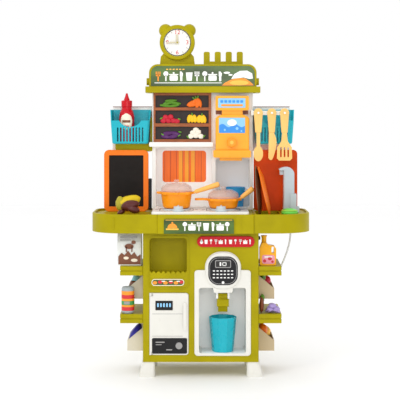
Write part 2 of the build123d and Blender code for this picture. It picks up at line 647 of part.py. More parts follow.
def clock():
    """Bear-eared clock case, its dial and two hands on one arbor."""
    ear_dx, ear_dz, ear_r = 33.0, 34.0, 18.5
    with BuildPart() as case:
        with BuildSketch(facing(84)):
            with Locations((CLOCK_X, CLOCK_Z)):
                Circle(CLOCK_R - 3)
        extrude(amount=36)
        with BuildSketch(facing(84)):
            with BuildLine():
                Polyline((CLOCK_X - 48.5, CANOPY_TOP), (CLOCK_X + 49, CANOPY_TOP),
                         (CLOCK_X + 46, CANOPY_TOP + 22), (CLOCK_X + 30, CANOPY_TOP + 40),
                         (CLOCK_X - 30, CANOPY_TOP + 40), (CLOCK_X - 46, CANOPY_TOP + 22), close=True)
            make_face()
        extrude(amount=30)
        for side in (-1, 1):
            with Locations((CLOCK_X + side * ear_dx, 64, CLOCK_Z + ear_dz)):
                Sphere(ear_r)
        with BuildSketch(facing(56)):
            with Locations((CLOCK_X, CLOCK_Z)):
                Circle(CLOCK_R)
        extrude(amount=12)
        rim = case.faces().sort_by(Axis.Y)[0].edges()
        fillet(rim, 4)
        with BuildSketch(facing(50)):
            with Locations((CLOCK_X, CLOCK_Z)):
                Circle(38.4)
        extrude(amount=20, mode=Mode.SUBTRACT)
        with Locations(Location((CLOCK_X, 45.9, CLOCK_Z), (90, 0, 0))):
            Cylinder(2.0, 8.2)
    save(case, "clock_case")
    with BuildPart() as dial:
        with BuildSketch(facing(50)):
            with Locations((CLOCK_X, CLOCK_Z)):
                Circle(38.2)
                Circle(2.0, mode=Mode.SUBTRACT)
        extrude(amount=1.5)
    save(dial, "clock_dial")
    for name, y, length, width, angle in (("hour", 46.6, 20, 5, 2), ("minute", 44.2, 28, 4, 92)):
        with BuildPart() as hand:
            with BuildSketch(facing(y)):
                with Locations((CLOCK_X, CLOCK_Z)):
                    Circle(4.6)
                turn = radians(angle)
                middle = (CLOCK_X - sin(turn) * length / 2, CLOCK_Z + sin(turn + radians(90)) * length / 2)
                with Locations(middle):
                    SlotOverall(length + width, width, rotation=angle + 90)
                with Locations((CLOCK_X, CLOCK_Z)):
                    Circle(2.08, mode=Mode.SUBTRACT)
            extrude(amount=1.6)
        save(hand, f"clock_{name}_hand")


# Side screens, baskets and boards -----------------------------------------------------------
SCREEN_Y = 100.0


def side_screens():
    """A white screen on each side of the tower, behind the baskets, and the left bracket."""
    top = BASKET_FLOOR - PLAY
    with BuildPart() as piece:
        for x0, x1 in ((-249.0, TOWER_LEFT), (TOWER_RIGHT, 252.0)):
            panel(x0, x1, 594, 721, SCREEN_Y, WALL, 8)
        block(158, 242, 68, SCREEN_Y - WALL, top - WALL, top)
        for x in (166.0, 200.0, 234.0):
            block(x - 1.5, x + 1.5, 72, SCREEN_Y - WALL, top - 14, top - WALL)
    save(piece, "side_screens")
    with BuildPart() as bracket:
        with BuildSketch(facing(SCREEN_Y - WALL)):
            with Locations((-189, (596 + top) / 2)):
                Rectangle(100, top - 596)
            fillet(vertices().group_by(Axis.Y)[0], 9)
        extrude(amount=SCREEN_Y - WALL - 67)
        block(-236, -142, 67 + WALL, SCREEN_Y - 2 * WALL, 599, top - WALL, mode=Mode.SUBTRACT)
        block(-141, TOWER_LEFT, 62, SCREEN_Y - WALL, 597, 690)
    save(bracket, "basket_bracket")


def basket(name, x):
    """A tapered slotted basket with a dipped front rim."""
    skin, back_h, front_h = 2.6, 95.0, 65.0
    low_w, top_w, low_d, top_d = 100.0, 113.0, 54.0, 62.0
    back_y = SCREEN_Y - WALL - PLAY
    with BuildPart() as piece:
        for shrink, start, mode in ((0, 0, Mode.ADD), (skin, skin, Mode.SUBTRACT)):
            for height, width, depth in ((start, low_w, low_d), (back_h, top_w, top_d)):
                grow = 1 if (mode is Mode.SUBTRACT and height == back_h) else 0
                with BuildSketch(Plane.XY.offset(height + grow)):
                    with Locations((0, -top_d / 2)):
                        RectangleRounded(width - 2 * shrink, depth - 2 * shrink, 9 - shrink)
            loft(mode=mode)
            if mode is Mode.ADD:
                fillet(piece.faces().sort_by(Axis.Z)[0].edges(), 5)
        with BuildSketch(Plane.YZ.offset(-80)):
            with BuildLine():
                Polyline((-top_d - 5, front_h), (-top_d + 14, front_h), (-top_d + 24, back_h + 2),
                         (-top_d - 5, back_h + 2), close=True)
            make_face()
        extrude(amount=160, mode=Mode.SUBTRACT)
        with BuildSketch(facing(-top_d / 2)):
            with BuildLine():
                Spline((-32, front_h + 4), (-14, front_h - 15), (14, front_h - 15), (32, front_h + 4))
                Line((32, front_h + 4), (-32, front_h + 4))
            make_face()
        extrude(amount=60, mode=Mode.SUBTRACT)
        for y in (-top_d / 2, top_d / 2):
            with BuildSketch(facing(y)):
                with Locations((0, 26)):
                    with GridLocations(8.6, 1, 9, 1):
                        SlotOverall(40, 4.2, rotation=90)
            extrude(amount=60, mode=Mode.SUBTRACT)
    whole = piece.part.moved(Location((x, back_y, BASKET_FLOOR)))
    whole.label = name
    export_step(whole, f"parts/{name}.step")


def boards():
    """Chalkboard with its slate on the left wing, and the plain board on the right one."""
    with BuildPart() as frame:
        panel(-270, -146, DECK_LEFT, 600, 66, 9, 14)
        panel(-256, -160, DECK_LEFT + 14, 585, 61, 6, 2, Mode.SUBTRACT)
        fillet(frame.faces().sort_by(Axis.Y)[0].outer_wire().edges(), 2)
        for x in (-250.0, -166.0):
            block(x - 8, x + 8, 58, 82, DECK_LEFT, DECK_LEFT + 6)
    save(frame, "chalkboard_frame")
    with BuildPart() as slate:
        panel(-255.8, -160.2, DECK_LEFT + 14.2, 584.8, 61, 2, 1.8)
    save(slate, "chalkboard_slate")
    with BuildPart() as board:
        panel(147.5, 269.5, DECK_RIGHT, 600, 66, 7, 12)
        fillet(board.faces().sort_by(Axis.Y)[0].edges(), 1.5)
        for x in (170.0, 247.0):
            block(x - 8, x + 8, 58, 82, DECK_RIGHT, DECK_RIGHT + 6)
    save(board, "side_board_right")


# Utensils -----------------------------------------------------------------------------------
UTENSIL_X = (158.0, 195.5, 230.0)
UTENSIL_Y = (6.0, 14.0, 6.0)  # front face of each, on two layers so that they swing past
UTENSIL_T = 5.0
PEG_R = 3.0


def utensil_rail():
    """Arm and bar on the tower's right side with three pegs."""
    with BuildPart() as rail:
        block(138.8, 144.8, 22, TOWER_FRONT, HOOK_Z - 7, HOOK_Z + 7)
        block(138.8, 243, 22, 28, HOOK_Z - 6, HOOK_Z + 6)
        for x, y in zip(UTENSIL_X, UTENSIL_Y):
            length = 28 - y + 5
            with Locations(Location((x, 24 - length / 2, HOOK_Z), (90, 0, 0))):
                Cylinder(PEG_R, length)
    save(rail, "utensil_rail")


def utensil(name, x, y, outline):
    """A flat utensil hanging from its peg; outline adds the working end below the handle."""
    with BuildPart() as piece:
        with BuildSketch(facing(y + UTENSIL_T)):
            with Locations((x, HOOK_Z)):
                Circle(12.6)
            with BuildLine():
                Polyline((x - 12.4, HOOK_Z), (x + 12.4, HOOK_Z), (x + 8.4, HOOK_Z - 54),
                         (x - 8.4, HOOK_Z - 54), close=True)
            make_face()
        extrude(amount=UTENSIL_T)
        fillet(piece.faces().sort_by(Axis.Y)[0].edges(), 1.4)
        with BuildSketch(facing(y + UTENSIL_T - 0.8)):
            add(outline(x))
        extrude(amount=UTENSIL_T - 1.6)
        with BuildSketch(facing(y + 10)):
            with Locations((x, HOOK_Z)):
                Circle(PEG_R + 0.07)
        extrude(amount=20, mode=Mode.SUBTRACT)
    save(piece, name)


def spoon_end(x):
    """Shaft and oval bowl."""
    with BuildSketch() as shape:
        with Locations((x, HOOK_Z - 72)):
            Rectangle(10, 46)
        with Locations((x, HOOK_Z - 112)):
            Ellipse(13, 21)
    return shape.sketch


def knife_end(x):
    """Blade with one straight and one bellied edge."""
    low = HOOK_Z - 130
    with BuildSketch() as shape:
        with BuildLine():
            Line((x - 8, HOOK_Z - 50), (x - 9.5, low + 6))
            Spline((x - 9.5, low + 6), (x - 3, low), (x + 8, low + 20), (x + 13, low + 50),
                   (x + 3, HOOK_Z - 50))
            Line((x + 3, HOOK_Z - 50), (x - 8, HOOK_Z - 50))
        make_face()
    return shape.sketch


def spatula_end(x):
    """Neck widening into a slotted blade."""
    low = HOOK_Z - 131
    with BuildSketch() as shape:
        with BuildLine():
            Polyline((x - 6, HOOK_Z - 50), (x + 6, HOOK_Z - 50), (x + 9, HOOK_Z - 78),
                     (x + 20, low + 36), (x + 21, low + 6), (x + 15, low), (x - 15, low),
                     (x - 21, low + 6), (x - 20, low + 36), (x - 9, HOOK_Z - 78), close=True)
        make_face()
        with Locations((x, low + 23)):
            with GridLocations(10, 1, 3, 1):
                SlotOverall(28, 4.6, rotation=90, mode=Mode.SUBTRACT)
    return shape.sketch


# Sink ---------------------------------------------------------------------------------------
FAUCET_X, FAUCET_Y = 240.5, 4.0
FAUCET_PIN_R = 5.0


def faucet():
    """Faucet that swivels on its pin: a column with an arched top, an outlet and a lever block."""
    with BuildPart() as piece:
        with BuildSketch(Plane.XZ.offset(13)):
            with BuildLine():
                Polyline((17, DECK_RIGHT + PLAY), (15.5, 470), (15.5, 534))
                Spline((15.5, 534), (11, 547), (-2, 555), (-16, 554), (-27, 549),
                       tangents=((0, 1), (-1, -0.6)))
                Polyline((-27, 549), (-25, 545.5), (-14.5, 546), (-14.5, 470), (-16, DECK_RIGHT + PLAY),
                         (17, DECK_RIGHT + PLAY))
            make_face()
        extrude(amount=-26)
        fillet(piece.edges().filter_by(Axis.Y).group_by(Axis.X)[-1], 2)
        fillet(piece.faces().sort_by(Axis.Y)[0].edges().filter_by(Axis.Z), 4)
        with Locations((-18, 0, 540)):
            Cylinder(7, 13)
            Cylinder(4.5, 13, mode=Mode.SUBTRACT)
        block(4, 21, -16, 10, DECK_RIGHT + PLAY, 482)
        block(12, 29, -14, 8, DECK_RIGHT + PLAY, 447)
        fillet(piece.edges().filter_by(Axis.Z).group_by(Axis.X)[-1], 3)
        with Locations((0, 0, DECK_RIGHT + 6)):
            Cylinder(FAUCET_PIN_R + 0.07, 12, mode=Mode.SUBTRACT)
    whole = piece.part.moved(Location((FAUCET_X, FAUCET_Y, 0)))
    whole.label = "faucet"
    export_step(whole, "parts/faucet.step")


def dinner_plate(name, foot_x, lean, yaw):
    """A shallow plate standing on its edge in the basin, leaning to the left and turned by yaw."""
    radius = 71.0
    with BuildPart() as piece:
        with BuildSketch(Plane.XZ):
            with BuildLine():
                Polyline((0, 0), (radius * 0.62, 0), (radius, 6), (radius, 8), (radius * 0.6, 2.2),
                         (0, 2.2), close=True)
            make_face()
        revolve(axis=Axis.Z)
    disc = piece.part.rotate(Axis.Y, -90 - lean).rotate(Axis.Z, yaw)
    box = disc.bounding_box()
    disc = disc.moved(Location((foot_x - box.max.X, PLATE_Y, BASIN_FLOOR + PLAY - box.min.Z)))
    disc.label = name
    export_step(disc, f"parts/{name}.step")


PLATE_Y = -31.0


# Side shelves and bins ----------------------------------------------------------------------
def side_storage():
    """Two shelves and two open bins on each side of the cabinet."""
    with BuildPart() as shelves:
        for side in (-1, 1):
            for top in SHELF_TOPS:
                edge = side * (CABINET_HALF + SHELF_REACH)
                x0, x1 = sorted((side * CABINET_HALF, edge))
                slab(x0, x1, SHELF_FRONT, SHELF_BACK, top - SHELF_T, SHELF_T - 3, 2.5)
                slab(x0 + WALL, x1 - WALL, SHELF_FRONT + WALL, SHELF_BACK - WALL, top - SHELF_T - 1,
                     SHELF_T - 6, 1.5, Mode.SUBTRACT)
                slab(x0, x1, SHELF_FRONT, SHELF_BACK, top - 3, 3, 2.5)
                block(x0 - 1, x1 + 1, SHELF_FRONT - 1, SHELF_FRONT + 1.8, top - 14, top - 10,
                      mode=Mode.SUBTRACT)
                block(edge - 1.8, edge + 1.8, SHELF_FRONT - 1, SHELF_BACK + 1, top - 14, top - 10,
                      mode=Mode.SUBTRACT)
    save(shelves, "side_shelves")
    for name, side in (("left", -1), ("right", 1)):
        with BuildPart() as bins:
            for top in BIN_TOPS:
                near, far, low = side * CABINET_HALF, side * (CABINET_HALF + 44), top - 64
                for skin in (0.0, 2.4):
                    with BuildSketch(facing(BIN_BACK - skin)):
                        with BuildLine():
                            Polyline((near + side * skin, low + skin), (far - side * skin, low + skin),
                                     (far - side * skin, top - 36 + 2.2 * skin),
                                     (near + side * skin, top + 2.2 * skin), close=True)
                        make_face()
                    extrude(amount=BIN_BACK - BIN_FRONT - 2 * skin,
                            mode=Mode.SUBTRACT if skin else Mode.ADD)
        save(bins, f"bins_{name}")


# Water hose ---------------------------------------------------------------------------------
HOSE_R = 2.5
HOSE_TOP = (246.0, -6.0, SKIRT_LOW + 17)
HOSE_ROUTE = [
    HOSE_TOP, (246.0, -6.0, 368.0), (240.0, -4.0, 335.0), (230.0, 2.0, 305.0), (219.5, 20.0, 276.0),
    (214.0, 50.0, 256.0), (196.0, 79.0, 252.0), (174.0, 86.5, 260.0), (CABINET_HALF, 86.5, 260.0),
]


def hose():
    """Clear hose from the sink's spigot, down behind the shelf and into the cabinet's side."""
    points = [Vector(*p) for p in HOSE_ROUTE]
    radii = []
    for a, b, c in zip(points, points[1:], points[2:]):
        turn = (b - a).get_angle(c - b)
        shorter = min((b - a).length, (c - b).length)
        radii.append(0.45 * shorter / tan(radians(turn / 2)))
    print("hose radii", [round(r, 1) for r in radii])
    with BuildPart() as piece:
        with BuildLine():
            path = FilletPolyline(*points, radius=radii)
        with BuildSketch(Plane(origin=path @ 0, z_dir=path % 0)):
            Circle(HOSE_R)
        sweep()
    print("hose length", round(path.length, 1), "volume ratio",
          round(piece.part.volume / (3.14159 * HOSE_R**2 * path.length), 4))
    save(piece, "water_hose")


# Bottles and play food ----------------------------------------------------------------------
def ketchup():
    """Sauce bottle with a pointed cap."""
    profile = [(0, 0), (18, 0), (20.5, 3), (21.3, 20), (21.5, 60), (21.2, 74), (18.5, 86), (14, 95),
               (13.6, 99), (15.2, 101), (15.2, 117), (8.5, 119), (4.2, 131), (2.6, 138), (0, 138)]
    bottle = turned(profile, (-207.0, 65.7, BASKET_FLOOR + 2.6 + PLAY))
    bottle.label = "ketchup_bottle"
    export_step(bottle, "parts/ketchup_bottle.step")


def detergent():
    """Detergent bottle with a moulded handle loop and a tall spout cap."""
    x, y, z = 180.0, -58.0, SHELF_TOPS[0] + PLAY
    with BuildPart() as piece:
        with BuildSketch(Plane.XZ.offset(-y)):
            with BuildLine():
                Polyline((x - 22, z), (x + 22, z), (x + 22, z + 44), (x + 17, z + 52), (x + 2, z + 54),
                         (x - 4, z + 60), (x - 16, z + 60), (x - 22, z + 46), close=True)
            make_face()
            with Locations((x + 13, z + 41)):
                SlotOverall(18, 7, rotation=90, mode=Mode.SUBTRACT)
            fillet(vertices().group_by(Axis.Y)[0], 4)
        extrude(amount=13, both=True)
        with Locations((x - 10, y, z + 67)):
            Cylinder(6.5, 16)
            with Locations((0, 0, 9)):
                Cone(6.5, 8.5, 6)
    save(piece, "detergent_bottle")


def shelf_goods():
    """Carton and can on the left shelves."""
    upper, lower = SHELF_TOPS
    with BuildPart() as carton:
        with BuildSketch(Plane.XY.offset(upper + PLAY)):
            with Locations((-191, -56)):
                RectangleRounded(65, 34, 4)
        with BuildSketch(Plane.XY.offset(upper + 62)):
            with Locations((-191, -56)):
                RectangleRounded(66, 28, 4)
        with BuildSketch(Plane.XY.offset(SKIRT_LOW - 4)):
            with Locations((-191, -56)):
                RectangleRounded(66, 5, 2)
        loft(ruled=True)
    save(carton, "carton")
    can = turned([(0, 0), (14.5, 0), (17, 4), (17, 66), (14.5, 70), (13.5, 69), (0, 69)],
                 (-195, -74.5, lower + PLAY))
    can.label = "can"
    export_step(can, "parts/can.step")


def counter_food():
    """Play food on the left wing, the dish by the faucet and two packets on the right shelf."""
    with BuildPart() as piece:
        with Locations((-214, -58, DECK_LEFT + 18)):
            Sphere(18)
        with Locations((-186, -74, DECK_LEFT + 14)):
            Sphere(14)
        slab(216.5, 262, -76, -36, DECK_RIGHT, 15, 12)
        slab(172, 212, -88, -42, SHELF_TOPS[1], 21, 8)
        slab(157, 168, -86, -58, SHELF_TOPS[1], 50, 2)
    save(piece, "play_food")
    tumbler = turned([(0, 0), (22, 0), (28, 54), (26.2, 54), (20.4, 2), (0, 2)],
                     (97, 78, BAY[2] + PLAY))
    tumbler.label = "tumbler"
    export_step(tumbler, "parts/tumbler.step")


def main():
    """Builds and writes every piece."""
    cabinet_front()
    cabinet_sides()
    screws()
    feet()
    badge()
    fridge()
    dispenser()
    wing("counter_left_wing", -COUNTER_HALF, SEAM_LEFT, DECK_LEFT)
    wing("counter_right_wing", COUNTER_HALF, SEAM_RIGHT, DECK_RIGHT)
    counter_centre()
    hob()
    cookware("pot", POT_X, 43.0, 36.0, 45.0, 78.0, 18.0, 0.0)
    cookware("pan", PAN_X, 43.0, 37.0, 27.0, 50.0, 38.0, 34.0)
    tower()
    drinks()
    canopy()
    clock()
    side_screens()
    basket("basket_left", -196.0)
    basket("basket_right", 204.0)
    boards()
    utensil_rail()
    utensil("spoon", UTENSIL_X[0], UTENSIL_Y[0], spoon_end)
    utensil("knife", UTENSIL_X[1], UTENSIL_Y[1], knife_end)
    utensil("spatula", UTENSIL_X[2], UTENSIL_Y[2], spatula_end)
    faucet()
    dinner_plate("plate_dark", 168.0, 5.0, -6.0)
    dinner_plate("plate_orange", 190.0, 13.0, -4.0)
    side_storage()
    hose()
    ketchup()
    detergent()
    shelf_goods()
    counter_food()


main()
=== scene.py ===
"""Looks of the toy kitchen: materials, printed stickers, play food, hose, light and camera."""

import random
from math import cos, pi, radians, sin

import bmesh
import bpy
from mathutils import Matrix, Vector, noise


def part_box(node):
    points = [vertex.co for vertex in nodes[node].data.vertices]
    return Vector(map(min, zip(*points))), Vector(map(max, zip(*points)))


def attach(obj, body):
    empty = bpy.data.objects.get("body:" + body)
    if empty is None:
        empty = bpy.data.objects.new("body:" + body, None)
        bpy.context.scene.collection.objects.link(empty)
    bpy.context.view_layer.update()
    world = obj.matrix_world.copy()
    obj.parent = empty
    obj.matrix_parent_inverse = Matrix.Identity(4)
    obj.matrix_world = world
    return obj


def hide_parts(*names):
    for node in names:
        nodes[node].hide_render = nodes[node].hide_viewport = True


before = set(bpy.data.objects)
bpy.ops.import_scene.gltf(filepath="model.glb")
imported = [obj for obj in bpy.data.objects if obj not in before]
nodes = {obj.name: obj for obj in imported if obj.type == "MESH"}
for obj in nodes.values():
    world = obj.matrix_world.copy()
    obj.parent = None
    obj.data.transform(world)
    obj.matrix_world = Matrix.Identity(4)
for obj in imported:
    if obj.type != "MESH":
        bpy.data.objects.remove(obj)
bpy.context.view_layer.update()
random.seed(7)
MM = 0.001
ROOT = "kitchen"
POT_X, PAN_X = -66.0, 61.0
NICHE_Y = -96.6

# Camera, light and floor --------------------------------------------------------------------
CAMERA_DISTANCE = 3.2
EYE_HEIGHT = 0.690
scene = bpy.context.scene
camera = bpy.data.objects.new("camera", bpy.data.cameras.new("camera"))
scene.collection.objects.link(camera)
camera.location = (0, -CAMERA_DISTANCE, EYE_HEIGHT)
camera.rotation_euler = (radians(90), 0, 0)
camera.data.sensor_width = 36
camera.data.lens = 105.1
camera.data.shift_x = -0.002
camera.data.shift_y = -0.206
scene.camera = camera
scene.view_settings.view_transform = "Standard"

world = bpy.data.worlds.new("studio")
world.use_nodes = True
world.node_tree.nodes["Background"].inputs["Color"].default_value = (1, 1, 1, 1)
world.node_tree.nodes["Background"].inputs["Strength"].default_value = 1.0
scene.world = world


def area_light(name, place, aim, size, power):
    """A soft square lamp at place that looks at aim."""
    lamp = bpy.data.lights.new(name, "AREA")
    lamp.shape = "SQUARE"
    lamp.size = size
    lamp.energy = power
    holder = bpy.data.objects.new(name, lamp)
    holder.location = place
    holder.rotation_euler = (Vector(aim) - Vector(place)).to_track_quat("-Z", "Y").to_euler()
    scene.collection.objects.link(holder)


area_light("key", (-1.6, -2.0, 2.2), (0, 0, 0.5), 0.9, 16)
area_light("front", (0.3, -3.0, 1.1), (0, 0, 0.5), 1.0, 12)
area_light("top", (0, 0.6, 2.6), (0, 0, 0.6), 1.6, 4)


# Materials ----------------------------------------------------------------------------------
def linear(r, g, b):
    """A display colour, 0 to 255, as the linear values that the shader takes."""
    return tuple(((v / 255 + 0.055) / 1.055) ** 2.4 if v > 10 else v / 3294 for v in (r, g, b))


class Finish:
    """A node material with helpers for the colour, roughness and bump of one surface."""

    def __init__(self, name, rgb, roughness=0.35):
        self.material = bpy.data.materials.new(name)
        self.material.use_nodes = True
        self.tree = self.material.node_tree
        self.shader = self.tree.nodes["Principled BSDF"]
        self.colour = linear(*rgb)
        self.roughness = roughness
        self.place = self.tree.nodes.new("ShaderNodeTexCoord").outputs["Object"]
        self.shader.inputs["Base Color"].default_value = (*self.colour, 1)
        self.shader.inputs["Roughness"].default_value = roughness
        self.normal = None

    def noise(self, scale, detail=3.0, stretch=None):
        """A noise texture's output, in cycles per metre."""
        place = self.place
        if stretch:
            turn = self.tree.nodes.new("ShaderNodeMapping")
            turn.inputs["Scale"].default_value = stretch
            self.tree.links.new(place, turn.inputs["Vector"])
            place = turn.outputs["Vector"]
        texture = self.tree.nodes.new("ShaderNodeTexNoise")
        texture.inputs["Scale"].default_value = scale
        texture.inputs["Detail"].default_value = detail
        self.tree.links.new(place, texture.inputs["Vector"])
        return texture.outputs["Fac"]

    def ramp(self, source, low, high, start=0.3, end=0.7):
        """Colours low to high over source's values from start to end."""
        ramp = self.tree.nodes.new("ShaderNodeValToRGB")
        ramp.color_ramp.elements[0].position = start
        ramp.color_ramp.elements[1].position = end
        ramp.color_ramp.elements[0].color = (*low, 1)
        ramp.color_ramp.elements[1].color = (*high, 1)
        self.tree.links.new(source, ramp.inputs["Fac"])
        return ramp.outputs["Color"]

    def vary(self, scale, amount, detail=3.0, stretch=None):
        """Colour that drifts darker and lighter by amount."""
        low = tuple(v * (1 - amount) for v in self.colour)
        high = tuple(min(1, v * (1 + amount)) for v in self.colour)
        out = self.ramp(self.noise(scale, detail, stretch), low, high)
        self.tree.links.new(out, self.shader.inputs["Base Color"])
        return self

    def rough(self, scale, spread, stretch=None):
        """Roughness that wanders round its value by spread."""
        level = self.tree.nodes.new("ShaderNodeMapRange")
        level.inputs["To Min"].default_value = max(0.02, self.roughness - spread)
        level.inputs["To Max"].default_value = min(1, self.roughness + spread)
        self.tree.links.new(self.noise(scale, 4, stretch), level.inputs["Value"])
        self.tree.links.new(level.outputs["Result"], self.shader.inputs["Roughness"])
        return self

    def bump(self, scale, height, detail=2.0, stretch=None):
        """Relief of that height in metres; calls add up."""
        node = self.tree.nodes.new("ShaderNodeBump")
        node.inputs["Distance"].default_value = height
        node.inputs["Strength"].default_value = 0.6
        self.tree.links.new(self.noise(scale, detail, stretch), node.inputs["Height"])
        if self.normal:
            self.tree.links.new(self.normal, node.inputs["Normal"])
        self.normal = node.outputs["Normal"]
        self.tree.links.new(self.normal, self.shader.inputs["Normal"])
        return self

    def set(self, **levels):
        """Constant shader levels by socket name, with _ for a space."""
        for name, value in levels.items():
            self.shader.inputs[name.replace("_", " ")].default_value = value
        return self


def moulded(name, rgb, roughness=0.34, grain=0.00012, drift=0.05):
    """Injection-moulded plastic: faint flow marks, fine grain and handled patches."""
    finish = Finish(name, rgb, roughness).vary(14, drift).rough(60, 0.09)
    return finish.bump(900, grain).bump(25, 0.0006).set(Specular_IOR_Level=0.28)


def printed(name, rgb, roughness=0.42):
    """Printed film: even ink with fine dots and slight waves."""
    return Finish(name, rgb, roughness).vary(700, 0.05).rough(40, 0.08).bump(60, 0.00025)


def clear(name, rgb, alpha, roughness=0.12):
    """See-through moulded plastic."""
    finish = moulded(name, rgb, roughness).set(Alpha=alpha, IOR=1.46)
    finish.material.surface_render_method = "BLENDED"
    return finish


LIME = moulded("lime", (164, 151, 0), 0.42, 0.0003, 0.10).set(Specular_IOR_Level=0.12)
WHITE = moulded("white", (224, 222, 214), 0.3, 0.00008, 0.02)
# Painted light: a brighter white than the housing's, put on the recess walls to stand in for light that
# lifts their shade
BAY_PAINTED_LIGHT_WHITE = moulded("bay_white_painted_light", (252, 251, 249), 0.4, 0.00008, 0.01)
TOWER_WHITE = moulded("tower_white", (236, 235, 230), 0.3, 0.00008, 0.02)
# Painted shade: the clock hands are cream, and this darker tone stands in for the shading on them
CLOCK_HAND_PAINTED_SHADE = moulded("hand", (206, 196, 168), 0.4)
CREAM = moulded("cream", (216, 208, 188), 0.42)
# Painted shade: the right-hand bins are cream like the left ones, and this darker tan stands in for the
# shade on them
BIN_CREAM_PAINTED_SHADE = moulded("bin_cream_painted_shade", (196, 176, 142), 0.5)
BLACK = moulded("black", (18, 18, 20), 0.22, 0.00006)
TURQUOISE = moulded("turquoise", (28, 172, 188), 0.28)
AMBER = moulded("amber", (250, 170, 38), 0.3)
YELLOW = moulded("yellow", (246, 176, 10), 0.3)
ORANGE = moulded("orange", (240, 118, 6), 0.3)
COOKWARE = moulded("cookware", (246, 152, 22), 0.26)
# Painted shade: the right side board is orange, and this darker red-orange stands in for the shade it sits
# in
SHADED_BOARD_ORANGE = moulded("board_orange_painted_shade", (206, 66, 6), 0.36, 0.00012, 0.22)
SHADED_BOARD_ORANGE.set(Specular_IOR_Level=0.1)
RED = moulded("red", (196, 12, 30), 0.22)
GREEN_SIGN = Finish("sign_green", (64, 92, 22), 0.3).vary(7, 0.55, 2, (1, 1, 5)).rough(40, 0.08)
GREEN_SIGN.bump(60, 0.0002)
SLATE = Finish("slate", (26, 21, 19), 0.7).vary(9, 0.35, 6, (1, 1, 2.5)).rough(80, 0.1)
SLATE.bump(1400, 0.0002).set(Specular_IOR_Level=0.2)
UTENSIL = moulded("utensil", (240, 194, 112), 0.42, 0.0002)
BLUE_GREY = moulded("blue_grey", (182, 194, 200), 0.2)
BROWN = moulded("brown", (112, 78, 54), 0.3)
HOB_GREY = moulded("hob_grey", (196, 204, 208), 0.35)
HOSE = clear("hose", (226, 226, 222), 0.62, 0.2)
LID = clear("lid", (236, 206, 192), 0.34)
BLUE_CLEAR = clear("blue_clear", (60, 168, 226), 0.72)
SCREW = Finish("screw", (150, 150, 150), 0.35).vary(300, 0.1).bump(900, 0.0002).set(Metallic=1.0)
DARK = printed("bay_dark", (34, 18, 12), 0.6)
FRAME_BROWN = Finish("frame_brown", (150, 78, 26), 0.5).vary(40, 0.3, 5, (1, 1, 9)).rough(40, 0.1)
FRAME_BROWN.bump(300, 0.0002)
LIGHT_GREEN = moulded("light_green", (176, 214, 84), 0.3)
CARD = Finish("card", (226, 228, 224), 0.6).vary(240, 0.04).bump(1100, 0.0002).rough(30, 0.06)
INK_WHITE = printed("ink_white", (246, 246, 242))
INK_ORANGE = printed("ink_orange", (246, 150, 30))
# Amber ink for prints, also used for a painted highlight on the name plate's top edge
AMBER_INK_AND_HIGHLIGHT = printed("ink_amber_and_painted_highlight", (252, 190, 70))
INK_GREY = printed("ink_grey", (150, 148, 146))
INK_BLUE = printed("ink_blue", (40, 140, 226))
INK_SKY = printed("ink_sky", (140, 200, 240))
INK_RED = printed("ink_red", (206, 36, 44))
# Brown ink for prints, also used for painted shadows: beside the dispenser's neck and along the side
# screens' top edges
BROWN_INK_AND_SHADOW = printed("ink_brown_and_painted_shadow", (120, 66, 36))
INK_PINK = printed("ink_pink", (236, 150, 170))
INK_GREEN = printed("ink_green", (60, 150, 70))
INK_BLACK = printed("ink_black", (26, 24, 24))
INK_CREAM = printed("ink_cream", (240, 228, 206))
PLANK = Finish("plank", (255, 112, 0), 0.45).vary(22, 0.12, 5, (9, 9, 0.4)).rough(50, 0.1)
PLANK.bump(120, 0.0004, 4, (9, 9, 0.7))
PALE_HANDLE = moulded("pale_handle", (248, 186, 92), 0.3)
CAN_METAL = moulded("can_metal", (160, 168, 170), 0.35)
INK_DARK_GREEN = printed("ink_dark_green", (56, 84, 24))
INK_BROWN_RED = printed("ink_brown_red", (196, 60, 0))
INK_GLOW = printed("ink_glow", (255, 166, 20))


FINISHES = {
    LIME: ("cabinet_front cabinet_walls cabinet_back counter_centre counter_left_wing "
           "counter_right_wing sign_canopy top_fence clock_case side_shelves basket_bracket "
           "dispenser_tap"),
    WHITE: "feet fridge_door fridge_liner dispenser_housing",
    TOWER_WHITE: "hob_plate tower_frame tower_back side_screens utensil_rail clock_dial",
    CREAM: "bins_left",
    CLOCK_HAND_PAINTED_SHADE: "clock_hour_hand clock_minute_hand",
    BIN_CREAM_PAINTED_SHADE: "bins_right",
    BLACK: "dispenser_display",
    TURQUOISE: "cup basket_left basket_right",
    AMBER: "drinks_dispenser",
    YELLOW: "detergent_bottle",
    ORANGE: "chalkboard_frame plate_orange",
    COOKWARE: "pot pan drinks_knob",
    SHADED_BOARD_ORANGE: "side_board_right",
    RED: "badge ketchup_bottle",
    GREEN_SIGN: "sign_plates",
    SLATE: "chalkboard_slate",
    UTENSIL: "spoon knife spatula",
    BLUE_GREY: "faucet",
    BROWN: "plate_dark",
    HOB_GREY: "burner_rings hob_knob_left hob_knob_right",
    LID: "pot_lid pan_lid",
    BLUE_CLEAR: "tumbler",
    SCREW: "back_screws",
    FRAME_BROWN: "pantry_panel",
    CARD: "carton",
    CAN_METAL: "can",
    PLANK: "window_board",
}
for finish, names in FINISHES.items():
    for name in names.split():
        mesh = nodes[name].data
        mesh.materials.clear()
        mesh.materials.append(finish.material)


def second_finish(name, finish, inside):
    """Gives a node's faces a second finish where inside(centre), with the centre in mm, is true."""
    mesh = nodes[name].data
    mesh.materials.append(finish.material)
    to_world = nodes[name].matrix_world
    for face in mesh.polygons:
        if inside(to_world @ face.center / MM):
            face.material_index = 1


